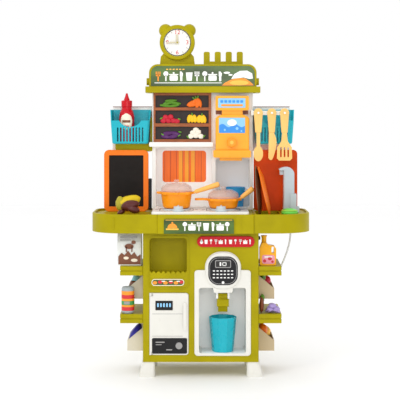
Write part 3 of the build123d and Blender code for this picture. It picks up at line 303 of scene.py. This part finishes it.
# The cookware's long handles are paler than the bowls, and the recesses' walls get a brighter white: painted
# light that lifts the shade inside the recesses
HANDLE_START = 47  # from a bowl's axis
second_finish("pot", PALE_HANDLE, lambda at: at.x > POT_X + HANDLE_START)
second_finish("pan", PALE_HANDLE, lambda at: at.x > PAN_X + HANDLE_START)
RECESS_Y = -80.0
second_finish("dispenser_housing", BAY_PAINTED_LIGHT_WHITE, lambda at: at.y > RECESS_Y and 2 < at.x < 116)
second_finish("tower_frame", BAY_PAINTED_LIGHT_WHITE,
              lambda at: 56 < at.y < 120 and -131 < at.x < 141 and 441 < at.z < 612)


# Pieces -------------------------------------------------------------------------------------
def piece(name, mesh, finish, body=ROOT, smooth=False):
    """An object from a mesh in metres, which rides on a body."""
    thing = bpy.data.objects.new(name, mesh)
    scene.collection.objects.link(thing)
    mesh.materials.append(finish.material)
    for face in mesh.polygons:
        face.use_smooth = smooth
    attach(thing, body)
    return thing


def prints(name, outlines, y, finish, body=ROOT, proud=0.5, sunk=0.15):
    """Flat closed shapes, outlined in x and z, that stand proud of the face at y. All in mm."""
    shape = bmesh.new()
    for outline in outlines:
        rings = []
        for depth in (y + sunk, y - proud):
            rings.append([shape.verts.new((x * MM, depth * MM, z * MM)) for x, z in outline])
        back, front = rings
        shape.faces.new(front)
        shape.faces.new(list(reversed(back)))
        count = len(outline)
        for i in range(count):
            j = (i + 1) % count
            shape.faces.new((front[j], front[i], back[i], back[j]))
    bmesh.ops.recalc_face_normals(shape, faces=shape.faces)
    bmesh.ops.triangulate(shape, faces=[f for f in shape.faces if len(f.verts) > 4])
    mesh = bpy.data.meshes.new(name)
    shape.to_mesh(mesh)
    shape.free()
    return piece(name, mesh, finish, body)


def rounded(x0, x1, z0, z1, r, steps=5):
    """Outline of a rounded rectangle."""
    points = []
    turns = ((x1 - r, z1 - r, 0), (x0 + r, z1 - r, 90), (x0 + r, z0 + r, 180), (x1 - r, z0 + r, 270))
    for cx, cz, start in turns:
        for i in range(steps + 1):
            a = radians(start + 90 * i / steps)
            points.append((cx + r * cos(a), cz + r * sin(a)))
    return points


def oval(cx, cz, rx, rz, steps=28, start=0, sweep=360):
    """Outline of an ellipse or, with a smaller sweep, of a part of one."""
    count = steps if sweep == 360 else steps + 1
    angles = [radians(start + sweep * i / steps) for i in range(count)]
    return [(cx + rx * cos(a), cz + rz * sin(a)) for a in angles]


def band(inner, outer):
    """Quads that fill the gap between two outlines with the same number of points."""
    count = len(inner)
    return [[inner[i], outer[i], outer[(i + 1) % count], inner[(i + 1) % count]] for i in range(count)]


def tool_icon(kind, cx, cz, h):
    """Outlines of a generic kitchen tool, h tall, centred at cx, cz."""
    w = h * 0.32
    handle = rounded(cx - w * 0.2, cx + w * 0.2, cz - h / 2, cz + h * 0.1, w * 0.15)
    if kind == "spoon":
        return [oval(cx, cz + h * 0.27, w * 0.8, h * 0.25), handle]
    if kind == "fork":
        tines = [rounded(cx + k * w * 0.6 - w * 0.16, cx + k * w * 0.6 + w * 0.16, cz + h * 0.12,
                         cz + h / 2, w * 0.12) for k in (-1, 0, 1)]
        root = rounded(cx - w * 0.76, cx + w * 0.76, cz + h * 0.02, cz + h * 0.2, w * 0.2)
        return tines + [root, handle]
    if kind == "knife":
        blade = [(cx - w * 0.5, cz), (cx + w * 0.4, cz), (cx + w * 0.5, cz + h * 0.3),
                 (cx, cz + h / 2), (cx - w * 0.5, cz + h / 2)]
        return [blade, rounded(cx - w * 0.4, cx + w * 0.3, cz - h / 2, cz + h * 0.02, w * 0.2)]
    if kind == "pot":
        return [rounded(cx - h * 0.42, cx + h * 0.42, cz - h * 0.45, cz + h * 0.1, h * 0.12),
                rounded(cx - h * 0.48, cx + h * 0.48, cz + h * 0.14, cz + h * 0.24, h * 0.04),
                oval(cx, cz + h * 0.34, h * 0.1, h * 0.1, 14)]
    if kind == "cup":
        return [[(cx - h * 0.34, cz + h * 0.4), (cx - h * 0.26, cz - h * 0.45),
                 (cx + h * 0.26, cz - h * 0.45), (cx + h * 0.34, cz + h * 0.4)]]
    return [oval(cx, cz, h * 0.36, h * 0.36)]


def turned(name, profile, place, finish, body=ROOT, steps=40, squash=1.0):
    """A solid of revolution from (radius, height) points in mm, smoothly shaded."""
    shape = bmesh.new()
    rings = []
    for radius, height in profile:
        if radius == 0:
            rings.append([shape.verts.new((place[0] * MM, place[1] * MM, (place[2] + height) * MM))])
            continue
        ring = []
        for i in range(steps):
            a = 2 * pi * i / steps
            x, y = place[0] + radius * cos(a), place[1] + radius * squash * sin(a)
            ring.append(shape.verts.new((x * MM, y * MM, (place[2] + height) * MM)))
        rings.append(ring)
    for low, high in zip(rings, rings[1:]):
        for i in range(steps):
            j = (i + 1) % steps
            loop = [low[i % len(low)], low[j % len(low)], high[j % len(high)], high[i % len(high)]]
            loop = list(dict.fromkeys(loop))
            if len(loop) > 2:
                shape.faces.new(loop)
    bmesh.ops.recalc_face_normals(shape, faces=shape.faces)
    mesh = bpy.data.meshes.new(name)
    shape.to_mesh(mesh)
    shape.free()
    return piece(name, mesh, finish, body, smooth=True)


def lump(name, place, radii, finish, body=ROOT, turn=0.0, rough=0.12, bend=0.0, detail=3):
    """An organic closed form: an uneven ellipsoid, turned about Y by turn degrees and bent."""
    shape = bmesh.new()
    bmesh.ops.create_icosphere(shape, subdivisions=detail, radius=1)
    seed = Vector((random.random() * 9, random.random() * 9, random.random() * 9))
    c, s = cos(radians(turn)), sin(radians(turn))
    for v in shape.verts:
        grow = 1 + rough * noise.noise(v.co * 1.7 + seed)
        x, y, z = (v.co[i] * radii[i] * grow for i in range(3))
        z += bend * (x / max(radii[0], 1)) ** 2
        x, z = place[0] + x * c + z * s, place[2] - x * s + z * c
        v.co = Vector((x * MM, (place[1] + y) * MM, z * MM))
    mesh = bpy.data.meshes.new(name)
    shape.to_mesh(mesh)
    shape.free()
    return piece(name, mesh, finish, body, smooth=True)


def wrapped(name, centre, radius, z0, z1, start, end, finish, body, thick=0.4, steps=24, waist=0.0):
    """A label bent round an upright bottle: radius(z) in mm, from start to end degrees."""
    shape = bmesh.new()
    rows = 9
    skins = []
    for extra in (0.15, thick):
        grid = []
        for r in range(rows):
            t = r / (rows - 1)
            z = z0 + (z1 - z0) * t
            shrink = waist * (1 - (1 - (2 * t - 1) ** 2) ** 0.5)
            row = []
            for i in range(steps + 1):
                middle, half = (start + end) / 2, (end - start) / 2 * (1 - shrink)
                a = radians(middle + half * (2 * i / steps - 1))
                reach = radius(z) + extra
                x, y = centre[0] + reach * cos(a), centre[1] + reach * sin(a)
                row.append(shape.verts.new((x * MM, y * MM, z * MM)))
            grid.append(row)
        skins.append(grid)
    for grid in skins:
        for a, b in zip(grid, grid[1:]):
            for i in range(steps):
                shape.faces.new((a[i], a[i + 1], b[i + 1], b[i]))
    inner, outer = skins
    for i in range(steps):
        for r in (0, rows - 1):
            shape.faces.new((inner[r][i], inner[r][i + 1], outer[r][i + 1], outer[r][i]))
    for r in range(rows - 1):
        for i in (0, steps):
            shape.faces.new((inner[r][i], inner[r + 1][i], outer[r + 1][i], outer[r][i]))
    bmesh.ops.recalc_face_normals(shape, faces=shape.faces)
    mesh = bpy.data.meshes.new(name)
    shape.to_mesh(mesh)
    shape.free()
    return piece(name, mesh, finish, body, smooth=True)


def corners(node):
    """A node's lowest and highest corners in mm."""
    low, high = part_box(node)
    return low / MM, high / MM


# Water hose ---------------------------------------------------------------------------------
HOSE_ROUTE = [
    (246.0, -6.0, 401.0), (246.0, -6.0, 368.0), (240.0, -4.0, 335.0), (230.0, 2.0, 305.0),
    (219.5, 20.0, 276.0), (214.0, 50.0, 256.0), (196.0, 79.0, 252.0), (174.0, 86.5, 260.0),
    (154.0, 86.5, 260.0),
]
HOSE_DIAMETER = 5.0
line = bpy.data.curves.new("hose_line", "CURVE")
line.dimensions = "3D"
line.bevel_depth = HOSE_DIAMETER / 2 * MM
line.bevel_resolution = 5
line.resolution_u = 16
line.use_fill_caps = True
spline = line.splines.new("NURBS")
spline.points.add(len(HOSE_ROUTE) - 1)
for point, place in zip(spline.points, HOSE_ROUTE):
    point.co = (*(v * MM for v in place), 1)
spline.order_u = 3
spline.use_endpoint_u = True
line.materials.append(HOSE.material)
hose = bpy.data.objects.new("hose_line", line)
scene.collection.objects.link(hose)
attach(hose, ROOT)
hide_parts("water_hose")


# Signs and badge ----------------------------------------------------------------------------
SIGN_Y = 29.0
PLATE_Y = corners("sign_plates")[0].y
kinds = ["fork", "spoon", "pot", "knife", "cup", "fork", "spoon", "pot", "knife"]
marks = []
for i, kind in enumerate(kinds):
    marks += tool_icon(kind, -118 + 21.5 * i, 804, 27)
prints("sign_marks", marks[5:], SIGN_Y, INK_WHITE, proud=1.0)
prints("sign_first_mark", marks[:5], SIGN_Y, INK_ORANGE, proud=1.0)
dashes = [rounded(-96 + 9 * i, -90 + 9 * i, 822, 825, 1.4) for i in range(6)]
prints("sign_small_marks", dashes, SIGN_Y, AMBER_INK_AND_HIGHLIGHT)
prints("sign_underline", [rounded(-128, 58, 785, 787, 0.9)], SIGN_Y, INK_WHITE)
dish = [(58, 778.5), (66, 786), (84, 795), (104, 800), (124, 798), (138, 788), (147, 779)]
prints("sign_dish", [dish], SIGN_Y, INK_ORANGE, proud=0.8)
prints("sign_dish_light", [oval(106, 786, 26, 7, 24)], SIGN_Y - 0.8, AMBER_INK_AND_HIGHLIGHT, proud=0.3)
plate = [(84, 797), (92, 810), (108, 819), (128, 820), (142, 812), (144, 798), (134, 797), (118, 801)]
prints("sign_dome", [plate], SIGN_Y, INK_WHITE, proud=0.9)
prints("sign_steam", [oval(72, 814, 9, 3, 20), oval(82, 808, 6, 2.4, 16)], SIGN_Y, INK_WHITE)

marks = []
for i, kind in enumerate(["spoon", "pot", "fork", "cup", "knife", "pot", "spoon"]):
    marks += tool_icon(kind, -42 + 18.6 * i, 403, 23)
prints("plate_marks", marks, PLATE_Y, INK_WHITE, proud=0.8)
prints("plate_dome", [oval(-75, 399, 13, 12, 18, 0, 180), oval(-75, 413, 2.4, 2.4, 12)], PLATE_Y, INK_ORANGE)
prints("plate_dome_base", [rounded(-92, -58, 394, 398, 1.8)], PLATE_Y, AMBER_INK_AND_HIGHLIGHT)
# A painted highlight: a light amber line along the name plate's top edge
prints("plate_edge_highlight", [rounded(-93, 83, 419.4, 420.8, 0.6)], PLATE_Y, AMBER_INK_AND_HIGHLIGHT, proud=0.3)

badge_y = corners("badge")[0].y + 0.8
marks = []
for i in range(10):
    marks += tool_icon(["cup", "spoon", "fork", "pot", "knife"][i % 5], 14 + 13 * i, 360.5, 13)
prints("badge_marks", marks, badge_y, INK_WHITE)
prints("badge_drop", [oval(2, 359, 4, 4.5), [(-1.8, 361), (5.8, 361), (2, 368)]], badge_y, INK_WHITE)

# Fridge -------------------------------------------------------------------------------------
door_y = corners("fridge_door")[0].y + 5.5
fridge = "fridge_door"
prints("fridge_panel", [rounded(-129.6, -36.4, 63, 104.6, 3.6)], door_y - 0.8, BLACK, fridge)
prints("fridge_screen", [rounded(-120.6, -74.4, 178.4, 203.6, 1.6)], door_y - 0.8, BLACK, fridge)
marks = [rounded(-116 + 8 * i, -111.5 + 8 * i, 187, 197, 1) for i in range(5)]
prints("fridge_screen_marks", marks, door_y - 1.3, INK_SKY, fridge, 0.3)
lines = [rounded(-129, -48, z, z + 1, 0.4) for z in (168, 109)]
prints("fridge_line", lines, door_y, INK_GREY, fridge, 0.3)
prints("fridge_panel_marks", [rounded(-120, -96, 92, 95, 1), rounded(-120, -104, 86, 88, 0.8),
       oval(-58, 84, 9, 9, 24), rounded(-92, -76, 72, 75, 1)], door_y - 1.3, INK_GREY, fridge, 0.3)

# Water dispenser ----------------------------------------------------------------------------
display_y = corners("dispenser_display")[0].y
prints("screen", [rounded(38, 80, 292, 312, 3)], display_y, INK_GREY)
prints("screen_inner", [rounded(40, 78, 294, 310, 2.4)], display_y - 0.5, INK_BLACK, proud=0.2)
digits = [rounded(50, 54, 297, 307, 1)]
digits += [rounded(57, 68, z, z + 2, 0.8) for z in (297, 305)]
digits += [rounded(x, x + 2, 297, 307, 0.8) for x in (57, 66)]
prints("screen_digits", digits, display_y - 0.7, INK_WHITE, proud=0.2)
keys = []
for row, z in enumerate((284, 275, 266)):
    for column in range(6):
        keys.append(rounded(32 + 9.6 * column, 37.6 + 9.6 * column, z - 1.6, z + 1.2, 0.8))
prints("display_keys", keys, display_y, INK_WHITE, proud=0.3)
prints("display_dot", [oval(59, 253, 3.4, 3.4, 20)], display_y, INK_WHITE, proud=0.4)
rim = band(rounded(23, 95, 249, 319, 24, 7), rounded(24.2, 93.8, 250.2, 317.8, 23, 7))
prints("display_rim", rim, display_y, INK_GREY, proud=0.2)

# Pantry -------------------------------------------------------------------------------------
BAY_DEPTH = 6
bay_back = corners("pantry_panel")[0].y + BAY_DEPTH
bays = {"low": (630, 664.6), "middle": (674.4, 709.6), "top": (718.4, 751.6)}
for name, (low, high) in bays.items():
    prints(f"bay_{name}_back", [rounded(-125.8, 21.8, low, high, 0.5)], bay_back - 0.3, DARK, proud=0.3)
GREEN_VEG = moulded("green_veg", (84, 134, 30), 0.4)
CARROT = moulded("carrot", (240, 112, 20), 0.4)
RADISH = moulded("radish", (196, 30, 52), 0.35)
PEPPER = moulded("pepper", (252, 196, 30), 0.28)
AUBERGINE = moulded("aubergine", (84, 34, 96), 0.25)
GARLIC = moulded("garlic", (236, 230, 214), 0.5)
LEAF = moulded("leaf", (96, 150, 48), 0.5)
veg_y = bay_back - 3.2


def pile(name, finish, radii, places, leaf=None, leaf_places=()):
    """Produce lying in a bay: one uneven lump for each (x, z, turn), then its leaves."""
    for i, (x, z, turn) in enumerate(places):
        lump(f"{name}_{i}", (x, veg_y - 0.35 * i / len(places), z), radii, finish, turn=turn)
    for i, (x, z, turn) in enumerate(leaf_places):
        lump(f"{name}_leaf_{i}", (x, veg_y - 1.4, z), (5.2, 1.5, 2.2), leaf, turn=turn, detail=2)


pile("courgette", GREEN_VEG, (17, 3, 4.2), [(-98, 723, 6), (-76, 723, -8), (-90, 730, -12),
     (-72, 731, 8), (-84, 737, -4)], LEAF, [(-64, 727, 40), (-100, 730, -30)])
pile("carrot", CARROT, (5.2, 3, 13), [(-28, 730, 58), (-20, 732, 34), (-11, 733, 10),
     (-3, 731, -14), (-24, 725, 78), (-8, 727, 24)], LEAF,
     [(-14, 746, 70), (-8, 748, 100), (-20, 744, 40)])
pile("radish", RADISH, (8, 3, 7), [(-104, 681, 0), (-90, 681, 20), (-76, 681, 0), (-98, 691, 10),
     (-84, 692, 0), (-66, 680, 0)], LEAF, [(-60, 686, 30), (-110, 688, -30)])
pile("pepper", PEPPER, (6.4, 3, 11.5), [(-32, 687, 8), (-24, 687, -4), (-17, 687, -10),
     (-5, 686, 8), (3, 686, -4), (9, 686, -12)], LEAF, [(-24, 699, 80), (3, 698, 96)])
pile("aubergine", AUBERGINE, (14, 3, 6), [(-98, 637, 10), (-78, 637, -12), (-92, 646, -6),
     (-70, 645, 16)], LEAF, [(-106, 643, 30), (-60, 640, -30), (-58, 650, 10)])
pile("cauliflower", GARLIC, (8, 3, 7), [(-28, 638, 0), (-14, 640, 0), (0, 638, 0), (-22, 648, 0),
     (-7, 650, 0), (-14, 656, 0)], LEAF, [(-36, 636, 50), (9, 638, -50)])

# Drinks dispenser ---------------------------------------------------------------------------
LABEL_Y = 21.0  # the floor of the two label recesses
prints("top_label", [rounded(48, 123, 717.5, 743.5, 1.6)], LABEL_Y, INK_SKY)
marks = [rounded(54 + 11 * i, 62 + 11 * i, 731, 738, 1.6) for i in range(6)]
prints("top_label_marks", marks, LABEL_Y - 0.5, INK_BLUE, proud=0.3)
prints("top_label_bar", [rounded(56, 116, 721, 727, 2.4)], LABEL_Y - 0.5, INK_ORANGE, proud=0.3)
prints("wave_label", [rounded(50, 122, 647.5, 689.5, 1.6)], LABEL_Y, INK_SKY)
wave = [(50.4 + 71.2 * i / 24, 668 + 4.5 * sin(i / 24 * 4 * pi)) for i in range(25)]
wave = [(50.4, 648), *wave, (121.6, 648)]
prints("wave_water", [list(reversed(wave))], LABEL_Y - 0.5, INK_BLUE, proud=0.3)
prints("wave_fruit", [oval(86, 676, 13, 9)], LABEL_Y - 0.5, INK_WHITE, proud=0.4)
bubbles = [oval(66, 656, 3, 3, 14), oval(100, 660, 4, 4, 14), oval(112, 653, 2.4, 2.4, 12)]
prints("wave_bubbles", bubbles, LABEL_Y - 0.8, INK_SKY, proud=0.3)
NECK_Y = 49.6  # 0.4 mm in front of the tower's face
shadows = [rounded(41.5, 57.5, 699, 709.5, 0.6), rounded(116.5, 132, 699, 709.5, 0.6)]
prints("neck_shadow", shadows, NECK_Y, BROWN_INK_AND_SHADOW)
knob_y = corners("drinks_knob")[0].y
prints("knob_face", tool_icon("disc", 85.2, 621.6, 14), knob_y, AMBER_INK_AND_HIGHLIGHT, "drinks_knob")

# Clock --------------------------------------------------------------------------------------
CLOCK_X, CLOCK_Z, DIAL_R = -65.5, 899.0, 38.2
TICK_R, NUMERAL_R = 31, 28
dial_y = corners("clock_dial")[0].y
inner, outer = (oval(CLOCK_X, CLOCK_Z, DIAL_R - gap, DIAL_R - gap, 48) for gap in (2.4, 0.4))
prints("dial_rim", band(inner, outer), dial_y, INK_BLACK, proud=0.4)
ticks = []
for hour in range(12):
    a = radians(30 * hour)
    if hour % 3:
        cx, cz = CLOCK_X + TICK_R * sin(a), CLOCK_Z + TICK_R * cos(a)
        ux, uz, vx, vz = sin(a) * 2.2, cos(a) * 2.2, cos(a) * 0.8, -sin(a) * 0.8
        ticks.append([(cx - ux - vx, cz - uz - vz), (cx + ux - vx, cz + uz - vz),
                      (cx + ux + vx, cz + uz + vz), (cx - ux + vx, cz - uz + vz)])
prints("dial_ticks", ticks, dial_y, INK_GREY, proud=0.3)


def numeral(text, hour):
    """A raised number on the dial."""
    letters = bpy.data.curves.new(f"numeral_{text}", "FONT")
    letters.body = text
    letters.size = 16.5 * MM
    letters.extrude = 0.25 * MM
    letters.align_x, letters.align_y = "CENTER", "CENTER"
    letters.materials.append(INK_RED.material)
    thing = bpy.data.objects.new(f"numeral_{text}", letters)
    a = radians(30 * hour)
    x, z = CLOCK_X + NUMERAL_R * sin(a), CLOCK_Z + NUMERAL_R * cos(a)
    thing.location = (x * MM, (dial_y - 0.2) * MM, z * MM)
    thing.rotation_euler = (radians(90), 0, 0)
    scene.collection.objects.link(thing)
    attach(thing, ROOT)


for text, hour in (("12", 0), ("3", 3), ("6", 6), ("9", 9)):
    numeral(text, hour)

# Sauce bottle and can -----------------------------------------------------------------------
sauce_low, sauce_high = corners("ketchup_bottle")
sauce_x, sauce_y = (sauce_low.x + sauce_high.x) / 2, (sauce_low.y + sauce_high.y) / 2


def sauce_radius(z):
    """The sauce bottle's radius at height z."""
    stops = ((640, 21.5), (680, 21.5), (694, 21.2), (706, 18.5), (715, 14))
    for (low, a), (high, b) in zip(stops, stops[1:]):
        if z <= high:
            return a + (b - a) * max(0, z - low) / (high - low)
    return 14


middle = (sauce_x, sauce_y)
sauce = "ketchup_bottle"
wrapped("sauce_label", middle, sauce_radius, 655, 702, 222, 318, INK_CREAM, sauce, 0.5, waist=0.9)
wrapped("sauce_bar", middle, sauce_radius, 676, 683, 240, 300, BROWN_INK_AND_SHADOW, sauce, 0.9)
wrapped("sauce_dash", middle, sauce_radius, 664, 668, 252, 288, INK_RED, sauce, 0.9)

can_low, can_high = corners("can")
middle = ((can_low.x + can_high.x) / 2, (can_low.y + can_high.y) / 2)
CAN_R, BAND_THICK = 17.0, 0.35
bands = ((8, 18, INK_RED), (18, 23, INK_ORANGE), (23, 34, INK_GREEN), (34, 40, INK_ORANGE),
         (40, 50, INK_RED), (50, 60, INK_ORANGE))
for i, (low, high, ink) in enumerate(bands):
    wrapped(f"can_band_{i}", middle, lambda z: CAN_R, can_low.z + low, can_low.z + high, 0, 359.5,
            ink, "can", BAND_THICK, 48)
wrapped("can_panel", middle, lambda z: CAN_R + BAND_THICK, can_low.z + 25, can_low.z + 33, 235, 290,
        INK_GREY, "can", BAND_THICK)

# Side screens and small fittings ------------------------------------------------------------
SCREEN_Y = 97
# Painted shadow: a brown line along each side screen's top edge stands in for the shadow line there
for side, x0, x1 in (("left", -248, -136), ("right", 148, 251)):
    line = [rounded(x0, x1, 719.4, 721.4, 0.6)]
    prints(f"screen_shadow_line_{side}", line, SCREEN_Y, BROWN_INK_AND_SHADOW, proud=0.4)
prints("tower_bracket", [rounded(-146.5, -137, 432, 520, 2.4)], 72, BLACK, proud=10)
prints("side_clips", [rounded(154.2, 160, 362, 371, 1.6), rounded(154.2, 160, 299, 308, 1.6)],
       -52, BLACK, proud=12)

# Window board -------------------------------------------------------------------------------
seams = [rounded(-104 + 17.4 * i, -102.6 + 17.4 * i, 503, 602, 0.4) for i in range(7)]
prints("window_seams", seams, SCREEN_Y, INK_BROWN_RED, proud=0.3)
stripes = [rounded(-62 + 17.4 * i, -51 + 17.4 * i, 506, 600, 3) for i in range(3)]
prints("window_glow", stripes, SCREEN_Y, INK_GLOW, proud=0.2)

# Hob ----------------------------------------------------------------------------------------
def flat(name, outlines, z, finish, body=ROOT, proud=0.4):
    """Flat closed shapes, outlined in x and y, that lie on a level face at z. All in mm."""
    thing = prints(name, outlines, 0, finish, body, proud)
    for v in thing.data.vertices:
        x, y, level = v.co
        v.co = Vector((x, level, z * MM - y))
    thing.data.flip_normals()
    return thing


HOB_TOP = 440
for x in (POT_X, PAN_X):
    square = band(rounded(x - 46, x + 46, -74, 18, 14), rounded(x - 44.4, x + 44.4, -72.4, 16.4, 13))
    flat(f"hob_print_{x:.0f}", square, HOB_TOP, INK_BLACK)
    arms = [rounded(x - 58, x - 49, -30.5, -25.5, 2), rounded(x + 49, x + 58, -30.5, -25.5, 2)]
    flat(f"hob_arms_{x:.0f}", arms, HOB_TOP, INK_GREY)

# Niche sticker ------------------------------------------------------------------------------
sticker = rounded(-131, -44, 243, 261, 8.5)
prints("niche_sticker", [sticker], NICHE_Y, INK_CREAM, proud=0.5)
prints("niche_sticker_green", [rounded(-129, -46, 245, 259, 6.6)], NICHE_Y - 0.5, INK_DARK_GREEN,
       proud=0.2)
food = [oval(-122 + 14 * i, 251 + (i % 2) * 2, 6, 4.4, 16) for i in range(6)]
prints("niche_sticker_food", food[::2], NICHE_Y - 0.7, INK_ORANGE, proud=0.25)
prints("niche_sticker_more", food[1::2], NICHE_Y - 0.7, INK_RED, proud=0.25)
prints("niche_sticker_shine", [rounded(-104 + 20 * i, -95 + 20 * i, 254, 256.4, 1) for i in range(3)],
       NICHE_Y - 1.0, INK_WHITE, proud=0.2)

# Play food ----------------------------------------------------------------------------------
CORN = moulded("corn", (214, 184, 14), 0.4).bump(420, 0.0012)
HUSK = moulded("husk", (170, 160, 40), 0.5)
MUSHROOM = moulded("mushroom", (86, 34, 30), 0.3)
GREEN_DISH = moulded("green_dish", (112, 214, 84), 0.25)
LILAC = moulded("lilac", (170, 150, 206), 0.35).bump(90, 0.0016)
PACKET = moulded("packet", (120, 62, 34), 0.4).bump(120, 0.001)
CONE_BLUE = moulded("cone_blue", (150, 214, 226), 0.35)
SAUSAGE = moulded("sausage", (48, 44, 150), 0.3)

corn = lump("corn", (-196, -52, 462), (35, 17, 17), CORN, turn=-20, rough=0.08)
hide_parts("play_food")
lump("corn_husk", (-214, -50, 456), (17, 19, 20), HUSK, turn=-24, rough=0.3)
lump("mushroom_cap", (-189, -74, 455), (25, 17, 14), MUSHROOM, turn=-14, rough=0.16)
lump("mushroom_fold", (-181, -80, 446), (19, 13, 10), MUSHROOM, turn=24, rough=0.24)
lump("mushroom_tail", (-213, -72, 437), (12, 10, 6.5), MUSHROOM, turn=-30, rough=0.2)
profile = [(0, 0), (20, 0), (23, 3), (22, 8), (17, 13), (9, 15.4), (0, 16)]
turned("green_dish", profile, (239, -56, 430.2), GREEN_DISH)
turned("green_dish_ring", [(19.4, 9.6), (22.4, 9.4), (22.4, 11), (18.6, 11.6), (19.4, 9.6)],
       (239, -56, 430.2), LIGHT_GREEN)
for i, (x, z, r) in enumerate(((186, 176, 13), (200, 177, 12), (192, 185, 11), (206, 171, 8))):
    lump(f"lilac_packet_{i}", (x, -66, z), (r, 15, r * 0.7), LILAC, turn=14 * i - 20, rough=0.35)
lump("brown_packet", (163, -72, 190), (6, 13, 22), PACKET, rough=0.25)
lump("green_packet", (165, -66, 205), (6, 10, 11), GREEN_VEG, rough=0.3)
turned("bin_cone", [(0, 0), (15, 1), (19, 14), (12, 40), (5, 56), (0, 60)], (-178, 12, 205),
       CONE_BLUE)
turned("bin_cone_tip", [(20, 10), (22.6, 14), (16, 34), (12.6, 38), (20, 10)], (-178, 12, 205),
       BROWN_INK_AND_SHADOW)
lump("bin_sausage", (-177, -30, 110), (10, 22, 26), SAUSAGE, turn=36, rough=0.14)
lump("bin_sausage_end", (-168, 10, 98), (13, 18, 15), SAUSAGE, rough=0.2)
lump("bin_leaf", (168, 0, 252), (9, 20, 20), GREEN_VEG, turn=10, rough=0.3)
lump("bin_fruit", (178, 26, 240), (15, 17, 15), RADISH, rough=0.1)
lump("bin_orange", (170, -20, 116), (11, 20, 15), CARROT, turn=-20, rough=0.2)
lump("bin_orange_low", (178, 22, 100), (15, 19, 15), AMBER_INK_AND_HIGHLIGHT, rough=0.1)

# Carton and detergent prints ----------------------------------------------------------------
front = corners("carton")[0].y
splash = [(-221, 297), (-161, 297), (-161, 324), (-170, 318), (-178, 330), (-186, 322), (-195, 334),
          (-204, 322), (-212, 328), (-221, 318)]
prints("carton_splash", [splash], front, BROWN_INK_AND_SHADOW, "carton", 0.35)
prints("carton_creature", [oval(-192, 345, 12, 7, 22), oval(-180, 356, 6, 5, 18),
       rounded(-201, -198, 330, 345, 1.2), rounded(-186, -183, 330, 345, 1.2)], front, BROWN_INK_AND_SHADOW,
       "carton", 0.35)
prints("carton_foam", [oval(-200, 314, 7, 4, 18), oval(-178, 308, 9, 4.4, 18)], front - 0.35,
       INK_CREAM, "carton", 0.25)
prints("carton_bars", [rounded(-216, -170, 368, 372, 1.6), rounded(-216, -186, 361, 364, 1.2)],
       front, INK_GREY, "carton", 0.35)
front = corners("detergent_bottle")[0].y
prints("detergent_label", [rounded(164, 198, 298, 322, 6)], front, INK_PINK, "detergent_bottle", 0.35)
prints("detergent_flowers", [oval(171, 306, 4.4, 4.4, 16), oval(185, 312, 5.4, 4.6, 18),
       oval(192, 304, 3.4, 3.4, 14)], front - 0.35, INK_RED, "detergent_bottle", 0.25)
prints("detergent_bar", [rounded(170, 192, 315, 318.4, 1.4)], front - 0.35, INK_WHITE,
       "detergent_bottle", 0.25)

# Finish -------------------------------------------------------------------------------------
floor_mesh = bpy.data.meshes.new("floor")
floor_mesh.from_pydata([(-6, -6, 0), (6, -6, 0), (6, 6, 0), (-6, 6, 0)], [], [(0, 1, 2, 3)])
floor = bpy.data.objects.new("floor", floor_mesh)
scene.collection.objects.link(floor)
FLOOR = Finish("floor", (255, 255, 255), 0.6).vary(3, 0.01).bump(300, 0.0001)
floor_mesh.materials.append(FLOOR.material)
